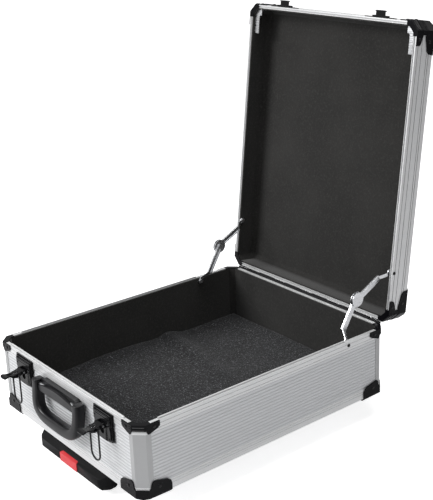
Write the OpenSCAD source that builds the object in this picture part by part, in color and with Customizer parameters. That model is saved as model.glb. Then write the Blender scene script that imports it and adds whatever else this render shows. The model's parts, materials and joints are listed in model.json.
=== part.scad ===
// Hard case for a laptop: an aluminium-edged box with a hinged lid, two draw
// latches, a carry handle, lid stays, and a pull-out trolley with wheels.
// Millimetres. X to the right seen from the latch side, Y from the latch side
// to the hinge side, Z up. The floor is Z = 0 and the lid stands open.

/* [Case] */
// Overall width of the case, left to right
case_w = 360; // [330:1:460]
// Overall depth of the case, latch side to hinge side
case_d = 440; // [380:1:560]
// Height of the base from its underside to its rim
base_h = 106; // [98:1:150]
// Depth of the lid from its rim to its top
lid_h = 44; // [40:1:70]
// Thickness of a finished wall, lining included
wall = 7; // [6:0.1:8]
// Width cut off each upright corner, along either face
corner_cut = 12; // [11:0.5:16]
// Width cut off the edges round the underside
under_cut = 8; // [6:0.5:10]
// Width cut off the edges round the top of the lid
lid_cut = 12; // [9:0.5:14]
// Gap between the two rims when the lid is shut
rim_gap = 0.4; // [0.3:0.1:1]
// Angle that the lid opens through
open_angle = 97; // [92:0.5:104]
// Height of the underside above the floor
stand_h = 38; // [38:1:48]

/* [Walls] */
// Thickness of the flanges of the edge profiles
skin_t = 1; // [0.8:0.1:1.2]
// Thickness of the wall boards between the flanges
board_t = 3; // [2.5:0.1:4]
// Height of the plain band round each rim
rim_band = 14; // [13:0.5:18]
// Height of the plain band round the underside
foot_band = 17; // [15:0.5:20]
// Width of the corner posts on each face
post_w = 20; // [18:0.5:26]
// Distance between the ribs of the wall sheets
rib_pitch = 4.75; // [4:0.05:7]
// Height of the ribs
rib_h = 0.5; // [0.3:0.1:0.6]
// Thickness of the rim under its top face
rim_web = 3.4; // [3.2:0.1:4]
// Depth of the lines in the outer faces of the profiles
line_t = 0.4; // [0.2:0.1:0.5]
// Height of the sealing tongue on the base rim
tongue_h = 2; // [1.5:0.1:2]
// Thickness of the foam on the floor
foam_h = 20; // [10:1:30]

/* [Corners] */
// Thickness of the corner caps
cap_t = 1.6; // [1.2:0.1:2]
// Thickness of the caps on top of the rims
cap_plate = 1.2; // [1:0.1:1.4]
// Length of a rim cap along each face
rim_cap_arm = 33; // [28:1:40]
// Length of an outer cap along each face
outer_cap_arm = 46; // [40:1:55]
// Height of an outer cap at its peak
outer_cap_peak = 25; // [20:1:28]

/* [Hinge] */
// Length of the hinge
hinge_len = 288; // [240:1:288]
// Number of hinge knuckles
knuckles = 9; // [5:2:15]
// Outer diameter of the hinge knuckles
knuckle_d = 6.4; // [5.6:0.1:6.4]
// Diameter of the hinge pin
hinge_pin_d = 2.4; // [2:0.1:3]
// Width of each hinge leaf
leaf_w = 20; // [16:1:24]

/* [Stays] */
// Distance from the hinge to the stay pivots
stay_reach = 80; // [70:1:95]
// Slack of each stay arm when the lid is open
stay_spare = 2.5; // [2:0.5:12]
// Width of the stay arms
stay_w = 9; // [8:0.5:10]
// Thickness of the stay arms
stay_t = 3; // [2.5:0.1:3]
// Thickness of the metal that the stay arms are pressed from
stay_metal = 1.4; // [1.2:0.1:1.6]
// Distance that the stay arms stand in from their pivots
stay_jog = 8; // [4:0.5:10]
// Diameter of the elbow discs
elbow_d = 22; // [16:1:24]
// Diameter of the stay rivets
stay_rivet_d = 5; // [4:0.5:5]
// Depth of the base pivot below the rim
stay_drop = 6.4; // [6.3:0.1:8]
// Height of the lid pivot above the lid rim
stay_rise = 4; // [3.5:0.1:6]

/* [Latches] */
// Distance of each latch from the middle
latch_x = 104; // [100:1:112]
// Width of the latch plates
plate_w = 46; // [40:1:50]
// Depth of the lever pivot below the rim
pivot_drop = 22.4; // [21:0.1:26]
// Distance of the lever pivot from the case
pivot_out = 7.5; // [7.5:0.1:9]
// Length of the lever beyond its pivot
lever_len = 32; // [26:1:36]
// Width of the lever
lever_w = 13; // [12:0.5:13]
// Angle that the open lever hangs below level
lever_droop = 14; // [8:1:20]
// Distance between the lever pivot and the bail pivot
bail_reach = 9; // [8.5:0.1:11]
// Height of the middle of the catches above the base rim
hook_rise = 3.4; // [3:0.1:6]
// Gap between the ears of a latch and its bail
bail_gap = 0.9; // [0.9:0.1:1.6]
// Thickness of the ears of the latches
ear_t = 1.2; // [1:0.1:1.6]
// Diameter of the lever pivots
lever_pin_d = 3; // [2.5:0.1:3.2]
// Diameter of the bail wire
wire_d = 2.4; // [2:0.1:2.6]
// Diameter of the lock in each lever
lock_d = 6.8; // [6:0.2:7]
// Room round the lock where it turns into the plate
lock_room = 1.4; // [1.4:0.1:2]

/* [Handle] */
// Overall width of the carry handle
handle_w = 120; // [110:1:130]
// Width of each arm of the grip
handle_arm = 13; // [11:0.5:16]
// Depth of the handle pivots below the rim
handle_drop = 21; // [20:0.5:24]
// Distance of the handle pivots from the case
handle_out = 8.5; // [8:0.5:12]
// Diameter of the handle pivots
handle_pin_d = 5; // [4:0.5:6]
// Distance from the handle pivots to the middle of the grip
grip_reach = 41; // [36:1:46]
// Diameter of the grip
grip_d = 17; // [15:0.5:19]

/* [Trolley] */
// Width of the outer trolley tubes
tube_w = 22; // [20:1:24]
// Height of the outer trolley tubes
tube_h = 14; // [13:0.5:16]
// Wall of the trolley tubes
tube_wall = 1.2; // [1:0.1:1.4]
// Running gap between one tube and the next
tube_gap = 0.3; // [0.3:0.05:0.5]
// Distance of each tube from the middle
tube_x = 50; // [44:1:54]
// Depth of the tube centres below the underside
tube_drop = 20; // [19:0.5:21]
// Travel of the middle tubes
mid_travel = 270; // [200:5:275]
// Travel of the inner tubes
inner_travel = 265; // [200:5:270]
// Width of the trolley grip
pull_w = 172; // [150:1:180]
// Depth of the trolley grip
pull_d = 28; // [26:1:32]
// Height of the trolley grip
pull_h = 28; // [26:1:28]
// Width of the release button
button_w = 44; // [34:1:50]
// Diameter of the holes that the tubes lock into
lock_hole_d = 4.5; // [4:0.5:5]
// Travel of the release button
button_travel = 4; // [3:0.5:5]

/* [Wheels] */
// Diameter of the wheels
wheel_d = 44; // [38:1:44]
// Width of the wheels
wheel_w = 20; // [16:1:22]
// Distance of each wheel from the middle
wheel_x = 96; // [92:1:100]
// Diameter of the axles
axle_d = 6; // [5:0.5:8]

/* [Hidden] */

$fn = 48;
cut_over = 1;
side_gap = 0.4;
mitre = 2 - sqrt(2);
shell_t = 2 * skin_t + board_t;
slot_up = 2.5;
floor_lip = 5;
fit = 0.05;

// How far the object reaches before and behind the middle of the case, so
// that the origin lies under the middle of its outline
hinge_out = knuckle_d / 2 + side_gap;
reach_front = pivot_out + lever_len * cos(lever_droop);
lid_lean = (case_d - lid_cut) * -cos(open_angle) + lid_h * sin(open_angle);
reach_rear = hinge_out * (1 - cos(open_angle)) + lid_lean + cap_t;
y_mid = round((reach_front - reach_rear) / 2);
yf = y_mid - case_d / 2;
yr = y_mid + case_d / 2;
z_rim = stand_h + base_h;
hinge_y = yr + hinge_out;
hinge_z = z_rim + rim_gap / 2;
inner_x = case_w / 2 - wall;

alu = [0.80, 0.81, 0.82];
sheet = [0.88, 0.89, 0.90];
black = [0.09, 0.09, 0.10];
felt = [0.17, 0.17, 0.18];
zinc = [0.75, 0.76, 0.78];
red = [0.85, 0.12, 0.12];

// Outline of the case from above, drawn in by a distance
module plan(inset) {
  w = case_w / 2 - inset;
  d = case_d / 2 - inset;
  c = max(0.5, corner_cut - inset * mitre);
  translate([0, y_mid])
    polygon([[-w + c, -d], [w - c, -d], [w, -d + c], [w, d - c],
             [w - c, d], [-w + c, d], [-w, d - c], [-w, -d + c]]);
}

module ring(outer, inner) {
  difference() {
    plan(outer);
    plan(inner);
  }
}

module band(low, high, outer, inner) {
  translate([0, 0, low]) linear_extrude(high - low) ring(outer, inner);
}

// Profile of a block whose lower edges are cut at 45 degrees
module cut_profile(half, inset, cut, high) {
  over = 9;
  polygon([[-half - over, inset + cut + over], [-half + cut, inset], [half - cut, inset],
           [half + over, inset + cut + over], [half + over, high], [-half - over, high]]);
}

// The case as a solid block standing on Z = 0, drawn in by a distance
module edge_block(inset, high, cut) {
  c = cut - inset * mitre;
  intersection() {
    translate([0, 0, inset - cut_over]) linear_extrude(high - inset + cut_over) plan(inset);
    translate([0, y_mid, 0]) rotate([90, 0, 0])
      linear_extrude(2 * case_d, center = true)
        cut_profile(case_w / 2 - inset, inset, c, high + cut_over);
    translate([0, y_mid, 0]) rotate([90, 0, 90])
      linear_extrude(2 * case_w, center = true)
        cut_profile(case_d / 2 - inset, inset, c, high + cut_over);
  }
}

// Places a shape at the four upright corners, with +X and +Y along the faces
module at_corners() {
  for (sx = [-1, 1], sy = [-1, 1])
    translate([sx * case_w / 2, y_mid + sy * case_d / 2, 0])
      mirror([sx > 0 ? 1 : 0, 0, 0]) mirror([0, sy > 0 ? 1 : 0, 0])
        children();
}

module x_rod(d, x0, x1) {
  translate([x0, 0, 0]) rotate([0, 90, 0]) cylinder(d = d, h = x1 - x0);
}

module base_place() {
  translate([0, 0, stand_h]) children();
}

// Swings the lid, drawn shut, to the angle that it stands open at
module lid_open() {
  translate([0, hinge_y, hinge_z]) rotate([-open_angle, 0, 0])
    translate([0, -hinge_y, -hinge_z])
      children();
}

// The lid is drawn upside down on Z = 0, as the base is
module lid_place() {
  lid_open() translate([0, 0, z_rim + rim_gap + lid_h]) mirror([0, 0, 1]) children();
}

// Rib profile of a wall sheet, with its valleys flush with the board
rib_low = foot_band + 2;
rib_count = floor((base_h - rim_band - 2 - rib_low) / rib_pitch);
rib_start = rib_low + (base_h - rim_band - 2 - rib_low - rib_count * rib_pitch) / 2;
function rib_points() = concat([[1.5, rib_start]],
  [for (i = [0 : rib_count - 1]) for (p = [[0, 0.1], [rib_h, 0.3], [rib_h, 0.7], [0, 0.9]])
    [-p[0], rib_start + (i + p[1]) * rib_pitch]],
  [[1.5, rib_start + rib_count * rib_pitch]]);

// A wall board, drawn with its outer face on Y = 0 and its middle on X = 0
module wall_board(length) {
  run = length - 28;
  sheet_run = length - 2 * post_w - 0.4;
  translate([-run / 2, 0, under_cut + slot_up])
    cube([run, board_t, base_h - rim_web - under_cut - slot_up]);
  translate([-sheet_run / 2, 0, 0]) rotate([90, 0, 90])
    linear_extrude(sheet_run) polygon(rib_points());
}

module side_board(s) {
  color(sheet) base_place() difference() {
    translate([s * (case_w / 2 - skin_t), y_mid, 0]) rotate([0, 0, s * 90]) wall_board(case_d);
    stay_bore_base();
  }
}

module base_front_panel() {
  color(sheet) base_place() translate([0, yf + skin_t, 0]) wall_board(case_w);
}

module base_rear_panel() {
  color(sheet) base_place() translate([0, yr - skin_t, 0]) rotate([0, 0, 180])
    wall_board(case_w);
}

module base_left_panel() {
  side_board(-1);
}

module base_right_panel() {
  side_board(1);
}

module base_floor_panel() {
  color(sheet) base_place() translate([0, 0, skin_t])
    linear_extrude(board_t) plan(under_cut + slot_up);
}

// Aluminium profile round the outer edges, slotted for the wall boards and
// for the flat board
module edge_channel(cut, high) {
  difference() {
    edge_block(0, high, cut);
    edge_block(shell_t, high + cut_over, cut);
    translate([0, 0, -cut_over]) linear_extrude(high) plan(cut + slot_up + 10);
    band(cut + slot_up, high + cut_over, skin_t, skin_t + board_t);
    translate([0, 0, skin_t]) linear_extrude(board_t) plan(cut + slot_up);
  }
}

module base_edge_profile() {
  color(alu) base_place() difference() {
    edge_channel(under_cut, foot_band);
    for (z = [foot_band - 6.5, foot_band - 3]) band(z, z + 0.9, -cut_over, line_t);
  }
}

module cap_seat(high) {
  at_corners() translate([-cut_over, -cut_over, high - cap_plate])
    cube([post_w + cut_over, post_w + cut_over, 9]);
}

// Lengths of the sealing tongue, along the front and, as far as the stays, the sides
tongue_in = 2.4;
tongue_t = 1.6;
tongue_gap = 0.3;
module tongue_runs() {
  stop = hinge_y - stay_reach - stay_rivet_d / 2 - 4;
  for (s = [-1, 1])
    translate([s * (case_w / 2 - tongue_in - tongue_t / 2) - tongue_t / 2, yf + rim_cap_arm, 0])
      cube([tongue_t, stop - yf - rim_cap_arm, tongue_h]);
  translate([-case_w / 2 + rim_cap_arm, yf + tongue_in, 0])
    cube([case_w - 2 * rim_cap_arm, tongue_t, tongue_h]);
}

module base_rim_profile() {
  color(alu) base_place() difference() {
    union() {
      band(base_h - rim_band, base_h, 0, skin_t);
      band(base_h - rim_web, base_h, 0, shell_t);
      band(base_h - 10, base_h, skin_t + board_t, shell_t);
      translate([0, 0, base_h]) tongue_runs();
    }
    for (z = [base_h - 11, base_h - 5]) band(z, z + 0.9, -cut_over, line_t);
    cap_seat(base_h);
    stay_bore_base();
  }
}

module base_corner_posts() {
  color(alu) base_place() difference() {
    intersection() {
      band(foot_band, base_h - rim_band, 0, shell_t);
      at_corners() cube([post_w, post_w, base_h]);
    }
    difference() {
      band(foot_band - cut_over, base_h, skin_t, skin_t + board_t);
      at_corners() cube([14, 14, base_h]);
    }
  }
}

// Outline of the rim cap on one face, from the corner along the rim
function rim_lobe(high) = [[-3, high], [rim_cap_arm, high], [rim_cap_arm, high - 7],
  [rim_cap_arm - 3, high - 9.5], [corner_cut + 5, high - 14], [corner_cut + 2.5, high - 13.6],
  [corner_cut + 0.5, high - 9], [-3, high - 9]];

// Outline of the outer cap on one face, from the corner along the edge
function outer_lobe() = let (arm = outer_cap_arm, peak = outer_cap_peak, c = corner_cut)
  [[-3, -3], [arm, -3], [arm, peak - 13], [arm - 1.5, peak - 8.5], [arm - 6, peak - 5],
   [arm - 14, peak - 3.2], [c + 11, peak - 0.6], [c + 8, peak], [c + 5, peak - 1.2],
   [c + 3.2, peak - 5], [c + 2, peak - 10], [c - 0.5, peak - 11.5], [-3, peak - 11.5]];

// A lobe as a prism on each of the two faces that meet at a corner
module lobes(points, depth) {
  rotate([90, 0, 0]) translate([0, 0, -depth]) linear_extrude(depth + 3) polygon(points);
  mirror([1, -1, 0]) rotate([90, 0, 0]) translate([0, 0, -depth])
    linear_extrude(depth + 3) polygon(points);
}

module rim_caps(high) {
  intersection() {
    band(high - 15, high, -cap_t, 0);
    at_corners() lobes(rim_lobe(high), corner_cut);
  }
  intersection() {
    band(high - cap_plate, high, -cap_t, wall);
    at_corners() translate([-3, -3, 0]) cube([post_w + 3, post_w + 3, high]);
  }
  intersection() {
    union() {
      band(high - 3.4, high - 2.4, -cap_t - 0.5, 0);
      band(high - 6.2, high - 5.2, -cap_t - 0.5, 0);
    }
    at_corners() translate([-3, -3, 0]) cube([corner_cut + 7, corner_cut + 7, high]);
  }
}

module outer_caps(cut) {
  intersection() {
    difference() {
      edge_block(-cap_t, outer_cap_peak + 2, cut);
      edge_block(0, outer_cap_peak + 4, cut);
    }
    at_corners() lobes(outer_lobe(), corner_cut + 6);
  }
}

module base_rim_caps() {
  color(black) base_place() rim_caps(base_h);
}

module base_bottom_caps() {
  color(black) base_place() outer_caps(under_cut);
}

module lining(high, cut) {
  difference() {
    edge_block(shell_t, high - cap_plate, cut);
    edge_block(wall, high, cut);
  }
}

module base_lining() {
  color(felt) base_place() difference() {
    lining(base_h, under_cut);
    stay_bore_base();
  }
}

module floor_foam() {
  lift = wall + 0.3;
  color(felt) base_place() {
    intersection() {
      edge_block(lift, lift + foam_h, under_cut);
      translate([0, 0, lift]) linear_extrude(foam_h - 2) plan(lift);
    }
    translate([0, 0, lift + foam_h - 2]) linear_extrude(2) plan(lift + 2);
  }
}

// A rivet head on a face whose outward direction is -Y, at the origin
module rivet_head(d, t) {
  rotate([90, 0, 0]) {
    cylinder(d = d, h = t / 2);
    translate([0, 0, t / 2]) cylinder(d1 = d, d2 = d * 0.7, h = t / 2);
  }
}

module corner_rivets(u, z) {
  at_corners() {
    translate([u, -cap_t, z]) rivet_head(5, 1.2);
    translate([-cap_t, u, z]) rotate([0, 0, -90]) rivet_head(5, 1.2);
  }
}

module base_rivets() {
  color(black) base_place() {
    corner_rivets(outer_cap_arm - 19, outer_cap_peak - 10);
    corner_rivets(rim_cap_arm - 9, base_h - 5.5);
  }
}

// The lid, drawn upside down
module lid_frame() {
  color(alu) lid_place() difference() {
    union() {
      difference() {
        edge_block(0, lid_h, lid_cut);
        edge_block(shell_t, lid_h + cut_over, lid_cut);
      }
      band(lid_h - rim_web, lid_h, 0, shell_t);
    }
    translate([0, 0, -cut_over]) linear_extrude(9) plan(lid_cut + slot_up + 10);
    translate([0, 0, skin_t]) linear_extrude(board_t) plan(lid_cut + slot_up);
    translate([0, 0, lid_h - tongue_h - tongue_gap])
      linear_extrude(9) ring(tongue_in - tongue_gap, tongue_in + tongue_t + tongue_gap);
    for (z = lid_grooves) band(z, z + 1.2, -cut_over, 2 * line_t);
    cap_seat(lid_h);
    stay_bore_lid();
  }
}
lid_grooves = [lid_cut + 2.5, lid_cut + 6.5, lid_h - 14, lid_h - 6];

module lid_top_panel() {
  pitch = 9.5;
  reach = case_w / 2 - lid_cut - slot_up - 14;
  count = floor(2 * reach / pitch / 2);
  color(sheet) lid_place() {
    translate([0, 0, skin_t]) linear_extrude(board_t) plan(lid_cut + slot_up);
    for (i = [-count : count])
      translate([i * pitch - 1.6, y_mid - case_d / 2 + lid_cut + slot_up + 12, skin_t - rib_h])
        cube([3.2, case_d - 2 * (lid_cut + slot_up + 12), rib_h + 0.5]);
  }
}

module lid_lining() {
  color(felt) lid_place() difference() {
    lining(lid_h, lid_cut);
    stay_bore_lid();
  }
}

module lid_rim_caps() {
  color(black) lid_place() rim_caps(lid_h);
}

module lid_top_caps() {
  reach = corner_cut + 9;
  color(black) lid_place() {
    outer_caps(lid_cut);
    difference() {
      intersection() {
        union() {
          band(lid_cut, lid_h - 5, -cap_t, 0);
          for (z = [lid_h - 13, lid_h - 21, lid_h - 24])
            band(z, z + 1, -cap_t - 0.5, 0);
        }
        at_corners() translate([-3, -3, 0]) cube([reach, reach, lid_h]);
      }
      at_corners() lobes(rim_lobe(lid_h), corner_cut);
    }
  }
}

module lid_rivets() {
  color(black) lid_place() {
    corner_rivets(outer_cap_arm - 19, outer_cap_peak - 8);
    corner_rivets(rim_cap_arm - 9, lid_h - 5.5);
  }
}

// Bent zinc strips that tie the lid's front corners together inside
module lid_corner_clips() {
  color(zinc) lid_place() for (s = [-1, 1]) intersection() {
    union() {
      band(lid_h - 15, lid_h - 5, wall, wall + 1.2);
      band(lid_h - 6.2, lid_h - 5, wall, wall + 10);
    }
    translate([s * (case_w / 2 - 11) - 11, yf, 0]) cube([22, 46, lid_h]);
  }
}

// Hinge leaf on the rear face: way is -1 for the base and 1 for the lid
module hinge_leaf(way) {
  step = hinge_len / knuckles;
  r = knuckle_d / 2;
  difference() {
    union() {
      translate([-hinge_len / 2, yr, hinge_z + (way < 0 ? -leaf_w : r + side_gap)])
        cube([hinge_len, 1.2, leaf_w - r - side_gap]);
      for (i = [(way < 0 ? 0 : 1) : 2 : knuckles - 1])
        translate([-hinge_len / 2 + i * step + side_gap / 2, hinge_y, hinge_z]) {
          x_rod(knuckle_d, 0, step - side_gap);
          translate([0, -hinge_out, way < 0 ? -r - side_gap - 0.1 : 0])
            cube([step - side_gap, hinge_out, r + side_gap + 0.1]);
        }
    }
    translate([0, hinge_y, hinge_z])
      x_rod(hinge_pin_d + 2 * fit, -hinge_len / 2 - cut_over, hinge_len / 2 + cut_over);
  }
}

module hinge_base_leaf() {
  color(black) hinge_leaf(-1);
}

module hinge_lid_leaf() {
  color(black) lid_open() hinge_leaf(1);
}

module hinge_pin() {
  color(zinc) translate([0, hinge_y, hinge_z])
    x_rod(hinge_pin_d, -hinge_len / 2 - 1, hinge_len / 2 + 1);
}

// Stay pivots in the Y-Z plane, measured from the hinge with the lid shut
stay_base = [-stay_reach, -stay_drop - rim_gap / 2];
stay_lid = [-stay_reach, stay_rise + rim_gap / 2];
function turned(p, a) = [p[0] * cos(a) - p[1] * sin(a), p[0] * sin(a) + p[1] * cos(a)];
stay_lid_open = turned(stay_lid, -open_angle);
stay_len = round(norm(stay_lid_open - stay_base) / 2 + stay_spare);
// Elbow at equal distances from both pivots, on the side away from the hinge
function elbow(p, q) =
  let (m = (p + q) / 2, d = q - p, h = sqrt(stay_len * stay_len - d * d / 4))
    m + h * [-d[1], d[0]] / norm(d);
elbow_open = elbow(stay_base, stay_lid_open);
stay_out = wall + 0.6;

module stay_bore_base() {
  translate([0, hinge_y - stay_reach, base_h - stay_drop])
    x_rod(stay_rivet_d, -case_w, case_w);
}

module stay_bore_lid() {
  translate([0, hinge_y - stay_reach, lid_h - stay_rise])
    x_rod(stay_rivet_d, -case_w, case_w);
}

// One arm lying along +Y from its pivot. Its end lies on X = 0, and from there
// it bends to X = jog, where it is a pan open to +X
module stay_arm(bore, head, jog) {
  m = stay_metal;
  bend = stay_w / 2 + 2;
  straight = bend + max(10, jog);
  difference() {
    union() {
      x_rod(stay_w, 0, m);
      translate([0, 0, -stay_w * 0.33]) linear_extrude(stay_w * 0.66)
        polygon([[0, 0], [0, bend], [jog, straight], [jog, straight + 3], [jog + m, straight + 3],
                 [jog + m, straight], [m, bend], [m, 0]]);
      translate([jog, straight, -stay_w / 2]) cube([stay_t, stay_len - straight, stay_w]);
      translate([jog, stay_len, 0]) {
        x_rod(elbow_d, 0, m);
        x_rod(stay_w, 0, stay_t + head);
      }
    }
    translate([jog + m, straight + m, -stay_w / 2 + m])
      cube([stay_t, stay_len - stay_w - straight + stay_w / 2 - m, stay_w - 2 * m]);
    x_rod(bore, -cut_over, m + cut_over);
  }
}

module stay_place(s, pivot, target, head, jog) {
  aim = target - pivot;
  translate([s * (case_w / 2 - stay_out), hinge_y + pivot[0], hinge_z + pivot[1]])
    rotate([atan2(aim[1], aim[0]), 0, 0])
      mirror([s > 0 ? 1 : 0, 0, 0])
        stay_arm(stay_rivet_d + 2 * fit, head, jog);
}

module stay_lower(s) {
  color(zinc) stay_place(s, stay_base, elbow_open, 1, stay_jog + stay_t + side_gap);
}

module stay_upper(s) {
  color(zinc) stay_place(s, stay_lid_open, elbow_open, 0, stay_jog);
}

// A rivet through the right-hand wall and a stay's end, pointing inwards along -X
module stay_rivet() {
  grip = stay_out + stay_metal + side_gap - 0.1;
  mirror([1, 0, 0]) {
    x_rod(stay_rivet_d, 0, grip);
    x_rod(stay_rivet_d + 3, -1.4, 0);
    x_rod(stay_rivet_d + 3, grip, grip + 1.4);
  }
}

module stay_rivets(z) {
  for (s = [-1, 1])
    translate([s * case_w / 2, hinge_y - stay_reach, z]) mirror([s < 0 ? 1 : 0, 0, 0])
      stay_rivet();
}

module base_stay_rivets() {
  color(zinc) stay_rivets(z_rim - stay_drop);
}

module lid_stay_rivets() {
  color(zinc) lid_open() stay_rivets(z_rim + rim_gap + stay_rise);
}

// Latch parts are drawn from the rim line on the case's front face
module latch_at(s) {
  translate([s * latch_x, yf, z_rim]) children();
}

ear_in = lever_w / 2 + side_gap;
bail_w = 2 * (ear_in + ear_t + bail_gap) + wire_d;
bail_len = pivot_drop + bail_reach + hook_rise + bail_w / 2;

// Half the outline of the latch plate, which narrows in a wave to its lower edge
function plate_side(inset) = let (w = plate_w / 2 - inset, low = -41 + inset / 2)
  [[w, -3.4 - inset], [w, -20], [w - 1.2, -21.5], [w - 1.2, -25], [w, -27], [w, low],
   [w - 1.5, low - 2.4], [w - 5, low - 3.6], [w / 2, low - 4.4], [0, low - 4.8]];
function plate_outline(inset) = let (half = plate_side(inset), n = len(half))
  concat(half, [for (i = [n - 2 : -1 : 0]) [-half[i][0], half[i][1]]]);

module latch_plate() {
  raised = 4.5;
  difference() {
    union() {
      rotate([90, 0, 0]) linear_extrude(1.4) polygon(plate_outline(0));
      rotate([90, 0, 0]) linear_extrude(3) polygon(plate_outline(2));
      rotate([90, 0, 0]) linear_extrude(raised) polygon(plate_outline(4));
      for (s = [-1, 1]) translate([s * (ear_in + ear_t / 2), -pivot_out, -pivot_drop]) {
        x_rod(lever_pin_d + 3.4, -ear_t / 2, ear_t / 2);
        translate([-ear_t / 2, 0, -3.2]) cube([ear_t, pivot_out - cut_over, 6.4]);
      }
    }
    translate([0, -pivot_out, -pivot_drop])
      x_rod(lever_pin_d, -ear_in - ear_t - cut_over, ear_in + ear_t + cut_over);
    translate([0, cut_over, -pivot_drop - bail_reach]) rotate([90, 0, 0])
      cylinder(d = lock_d + 2 * lock_room, h = 9);
    for (z = [-8.6, -11.6]) translate([-plate_w / 2 + 8, -raised - cut_over, z])
      cube([plate_w - 16, cut_over + 0.5, 1.2]);
  }
}

module latch_plates() {
  color(black) for (s = [-1, 1]) latch_at(s) latch_plate();
}

module latch_pins() {
  color(zinc) for (s = [-1, 1]) latch_at(s) translate([0, -pivot_out, -pivot_drop])
    x_rod(lever_pin_d, -ear_in - ear_t - 0.3, ear_in + ear_t + 0.3);
}

// Drawn level, with the pivot at the origin and the tip towards -Y: a leaf that
// narrows, spreads again and curls at its tip
module lever_leaf() {
  w = lever_w / 2;
  l = lever_len;
  intersection() {
    translate([0, 0, -9]) linear_extrude(20)
      polygon([[w, 1.5], [w, 8 - l / 1.4], [w - 1.4, 5 - l / 1.4], [w - 1.8, 1 - l / 1.4],
               [w - 0.6, 6 - l], [w - 0.6, 3 - l], [w - 2, 0.8 - l], [w - 4.5, -l],
               [4.5 - w, -l], [2 - w, 0.8 - l], [0.6 - w, 3 - l], [0.6 - w, 6 - l],
               [1.8 - w, 1 - l / 1.4], [1.4 - w, 5 - l / 1.4], [-w, 8 - l / 1.4], [-w, 1.5]]);
    rotate([90, 0, 90]) linear_extrude(lever_w + 9, center = true)
      polygon([[1.5, 1], [1.5, 3], [11 - l, 3], [7 - l, 2.5], [4 - l, 1.5], [1.5 - l, -0.2],
               [-l, -1.8], [-l, -3], [2.4 - l, -2.4], [4.6 - l, -0.7], [7.4 - l, 0.4],
               [11 - l, 1]]);
  }
}

module lever_body() {
  cheek = 1.4;
  difference() {
    union() {
      lever_leaf();
      for (s = [-1, 1]) translate([s * (lever_w - cheek) / 2, 0, 0]) {
        x_rod(lever_pin_d + 2.2, -cheek / 2, cheek / 2);
        rotate([90, 0, 90]) linear_extrude(cheek, center = true)
          polygon([[0, -2.5], [0, 2], [11 - lever_len, 2], [13 - lever_len, 0],
                   [-bail_reach - 3.5, -2.5]]);
      }
    }
    x_rod(lever_pin_d + 2 * fit, -lever_w, lever_w);
    translate([0, -bail_reach, 0]) x_rod(wire_d + 2 * fit, -lever_w, lever_w);
    translate([0, -bail_reach, -9]) cylinder(d = lock_d, h = 20);
  }
}

module lever_place(s) {
  latch_at(s) translate([0, -pivot_out, -pivot_drop]) rotate([lever_droop, 0, 0]) children();
}

module latch_lever(s) {
  color(black) lever_place(s) lever_body();
}

module lock_barrel(s) {
  color(zinc) lever_place(s) translate([0, -bail_reach, 0]) difference() {
    translate([0, 0, -6.6]) cylinder(d = lock_d, h = 10.2);
    translate([-0.5, -2.2, 2.6]) cube([1, 4.4, 4]);
  }
}

// The wire loop hanging from the lever
module latch_bail(s) {
  half = bail_w / 2;
  drop = bail_len - half;
  droop = [-pivot_out - bail_reach * cos(lever_droop),
           -pivot_drop - bail_reach * sin(lever_droop)];
  color(black) latch_at(s) translate([0, droop[0], droop[1]]) {
    for (t = [-1, 1]) {
      translate([t * half, 0, -drop]) cylinder(d = wire_d, h = drop);
      translate([t * half, 0, 0]) sphere(d = wire_d);
      translate([t > 0 ? 0 : -half, 0, 0]) x_rod(wire_d, t > 0 ? lever_w / 2 - 1.3 : 0,
        t > 0 ? half : half - lever_w / 2 + 1.3);
    }
    translate([0, 0, -drop]) rotate([90, 0, 0]) rotate([0, 0, 180])
      rotate_extrude(angle = 180) translate([half, 0]) circle(d = wire_d);
  }
}

// Catch plates on the lid that the bails hook over
module latch_keepers() {
  lug_r = bail_w / 2 - wire_d / 2 - side_gap;
  low = rim_gap + 1.2;
  color(black) lid_open() for (s = [-1, 1]) latch_at(s) {
    rotate([90, 0, 0]) linear_extrude(1.2)
      polygon([[-29, low + 1.4], [-25, low], [25, low], [29, low + 1.4], [29, low + 8],
               [14, low + 14.4], [-14, low + 14.4], [-29, low + 8]]);
    rotate([90, 0, 0]) linear_extrude(3.4)
      polygon([[-15, low + 2.2], [-13, low + 0.8], [13, low + 0.8], [15, low + 2.2],
               [15, low + 7], [10, low + 12.6], [-10, low + 12.6], [-15, low + 7]]);
    intersection() {
      translate([0, 0, hook_rise]) rotate([90, 0, 0]) union() {
        cylinder(r = lug_r, h = pivot_out + 1.7);
        translate([0, 0, pivot_out + 1.6]) cylinder(r = lug_r + 1.8, h = 0.9);
        translate([0, 0, pivot_out + 2.4]) cylinder(r1 = lug_r + 1.8, r2 = lug_r, h = 0.8);
      }
      translate([-20, -20, low + 2.8]) cube([40, 20, 20]);
    }
  }
}

// Carry handle, drawn from the rim line at the middle of the front face
module handle_at() {
  translate([0, yf, z_rim]) children();
}

arm_in = handle_w / 2 - handle_arm;
grip_low = -handle_drop - grip_reach - grip_d / 2;

module handle_bracket() {
  half = arm_in - side_gap;
  top = -handle_drop + 8.5;
  low = -handle_drop - 8.5;
  function crest(x) = top - 3 - 5 * pow(abs(x) / half, 1.6);
  color(black) handle_at() difference() {
    rotate([90, 0, 0]) union() {
      linear_extrude(handle_out - 1)
        polygon([[-half, low], [half, low], [half, top - 2], [half - 4, top],
                 [-half + 4, top], [-half, top - 2]]);
      linear_extrude(handle_out + 4)
        polygon(concat([[-half, low + 1], [half, low + 1]],
          [for (i = [12 : -1 : -12]) [i * half / 12, crest(i * half / 12)]]));
    }
    for (s = [-1, 1]) translate([s * arm_in, -handle_out, -handle_drop])
      x_rod(handle_pin_d, -handle_arm - cut_over, handle_arm);
  }
}

module handle_pins() {
  color(zinc) handle_at() for (s = [-1, 1])
    translate([s * arm_in, -handle_out, -handle_drop])
      x_rod(handle_pin_d, 0.4 - handle_arm, handle_arm - 0.4);
}

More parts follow.
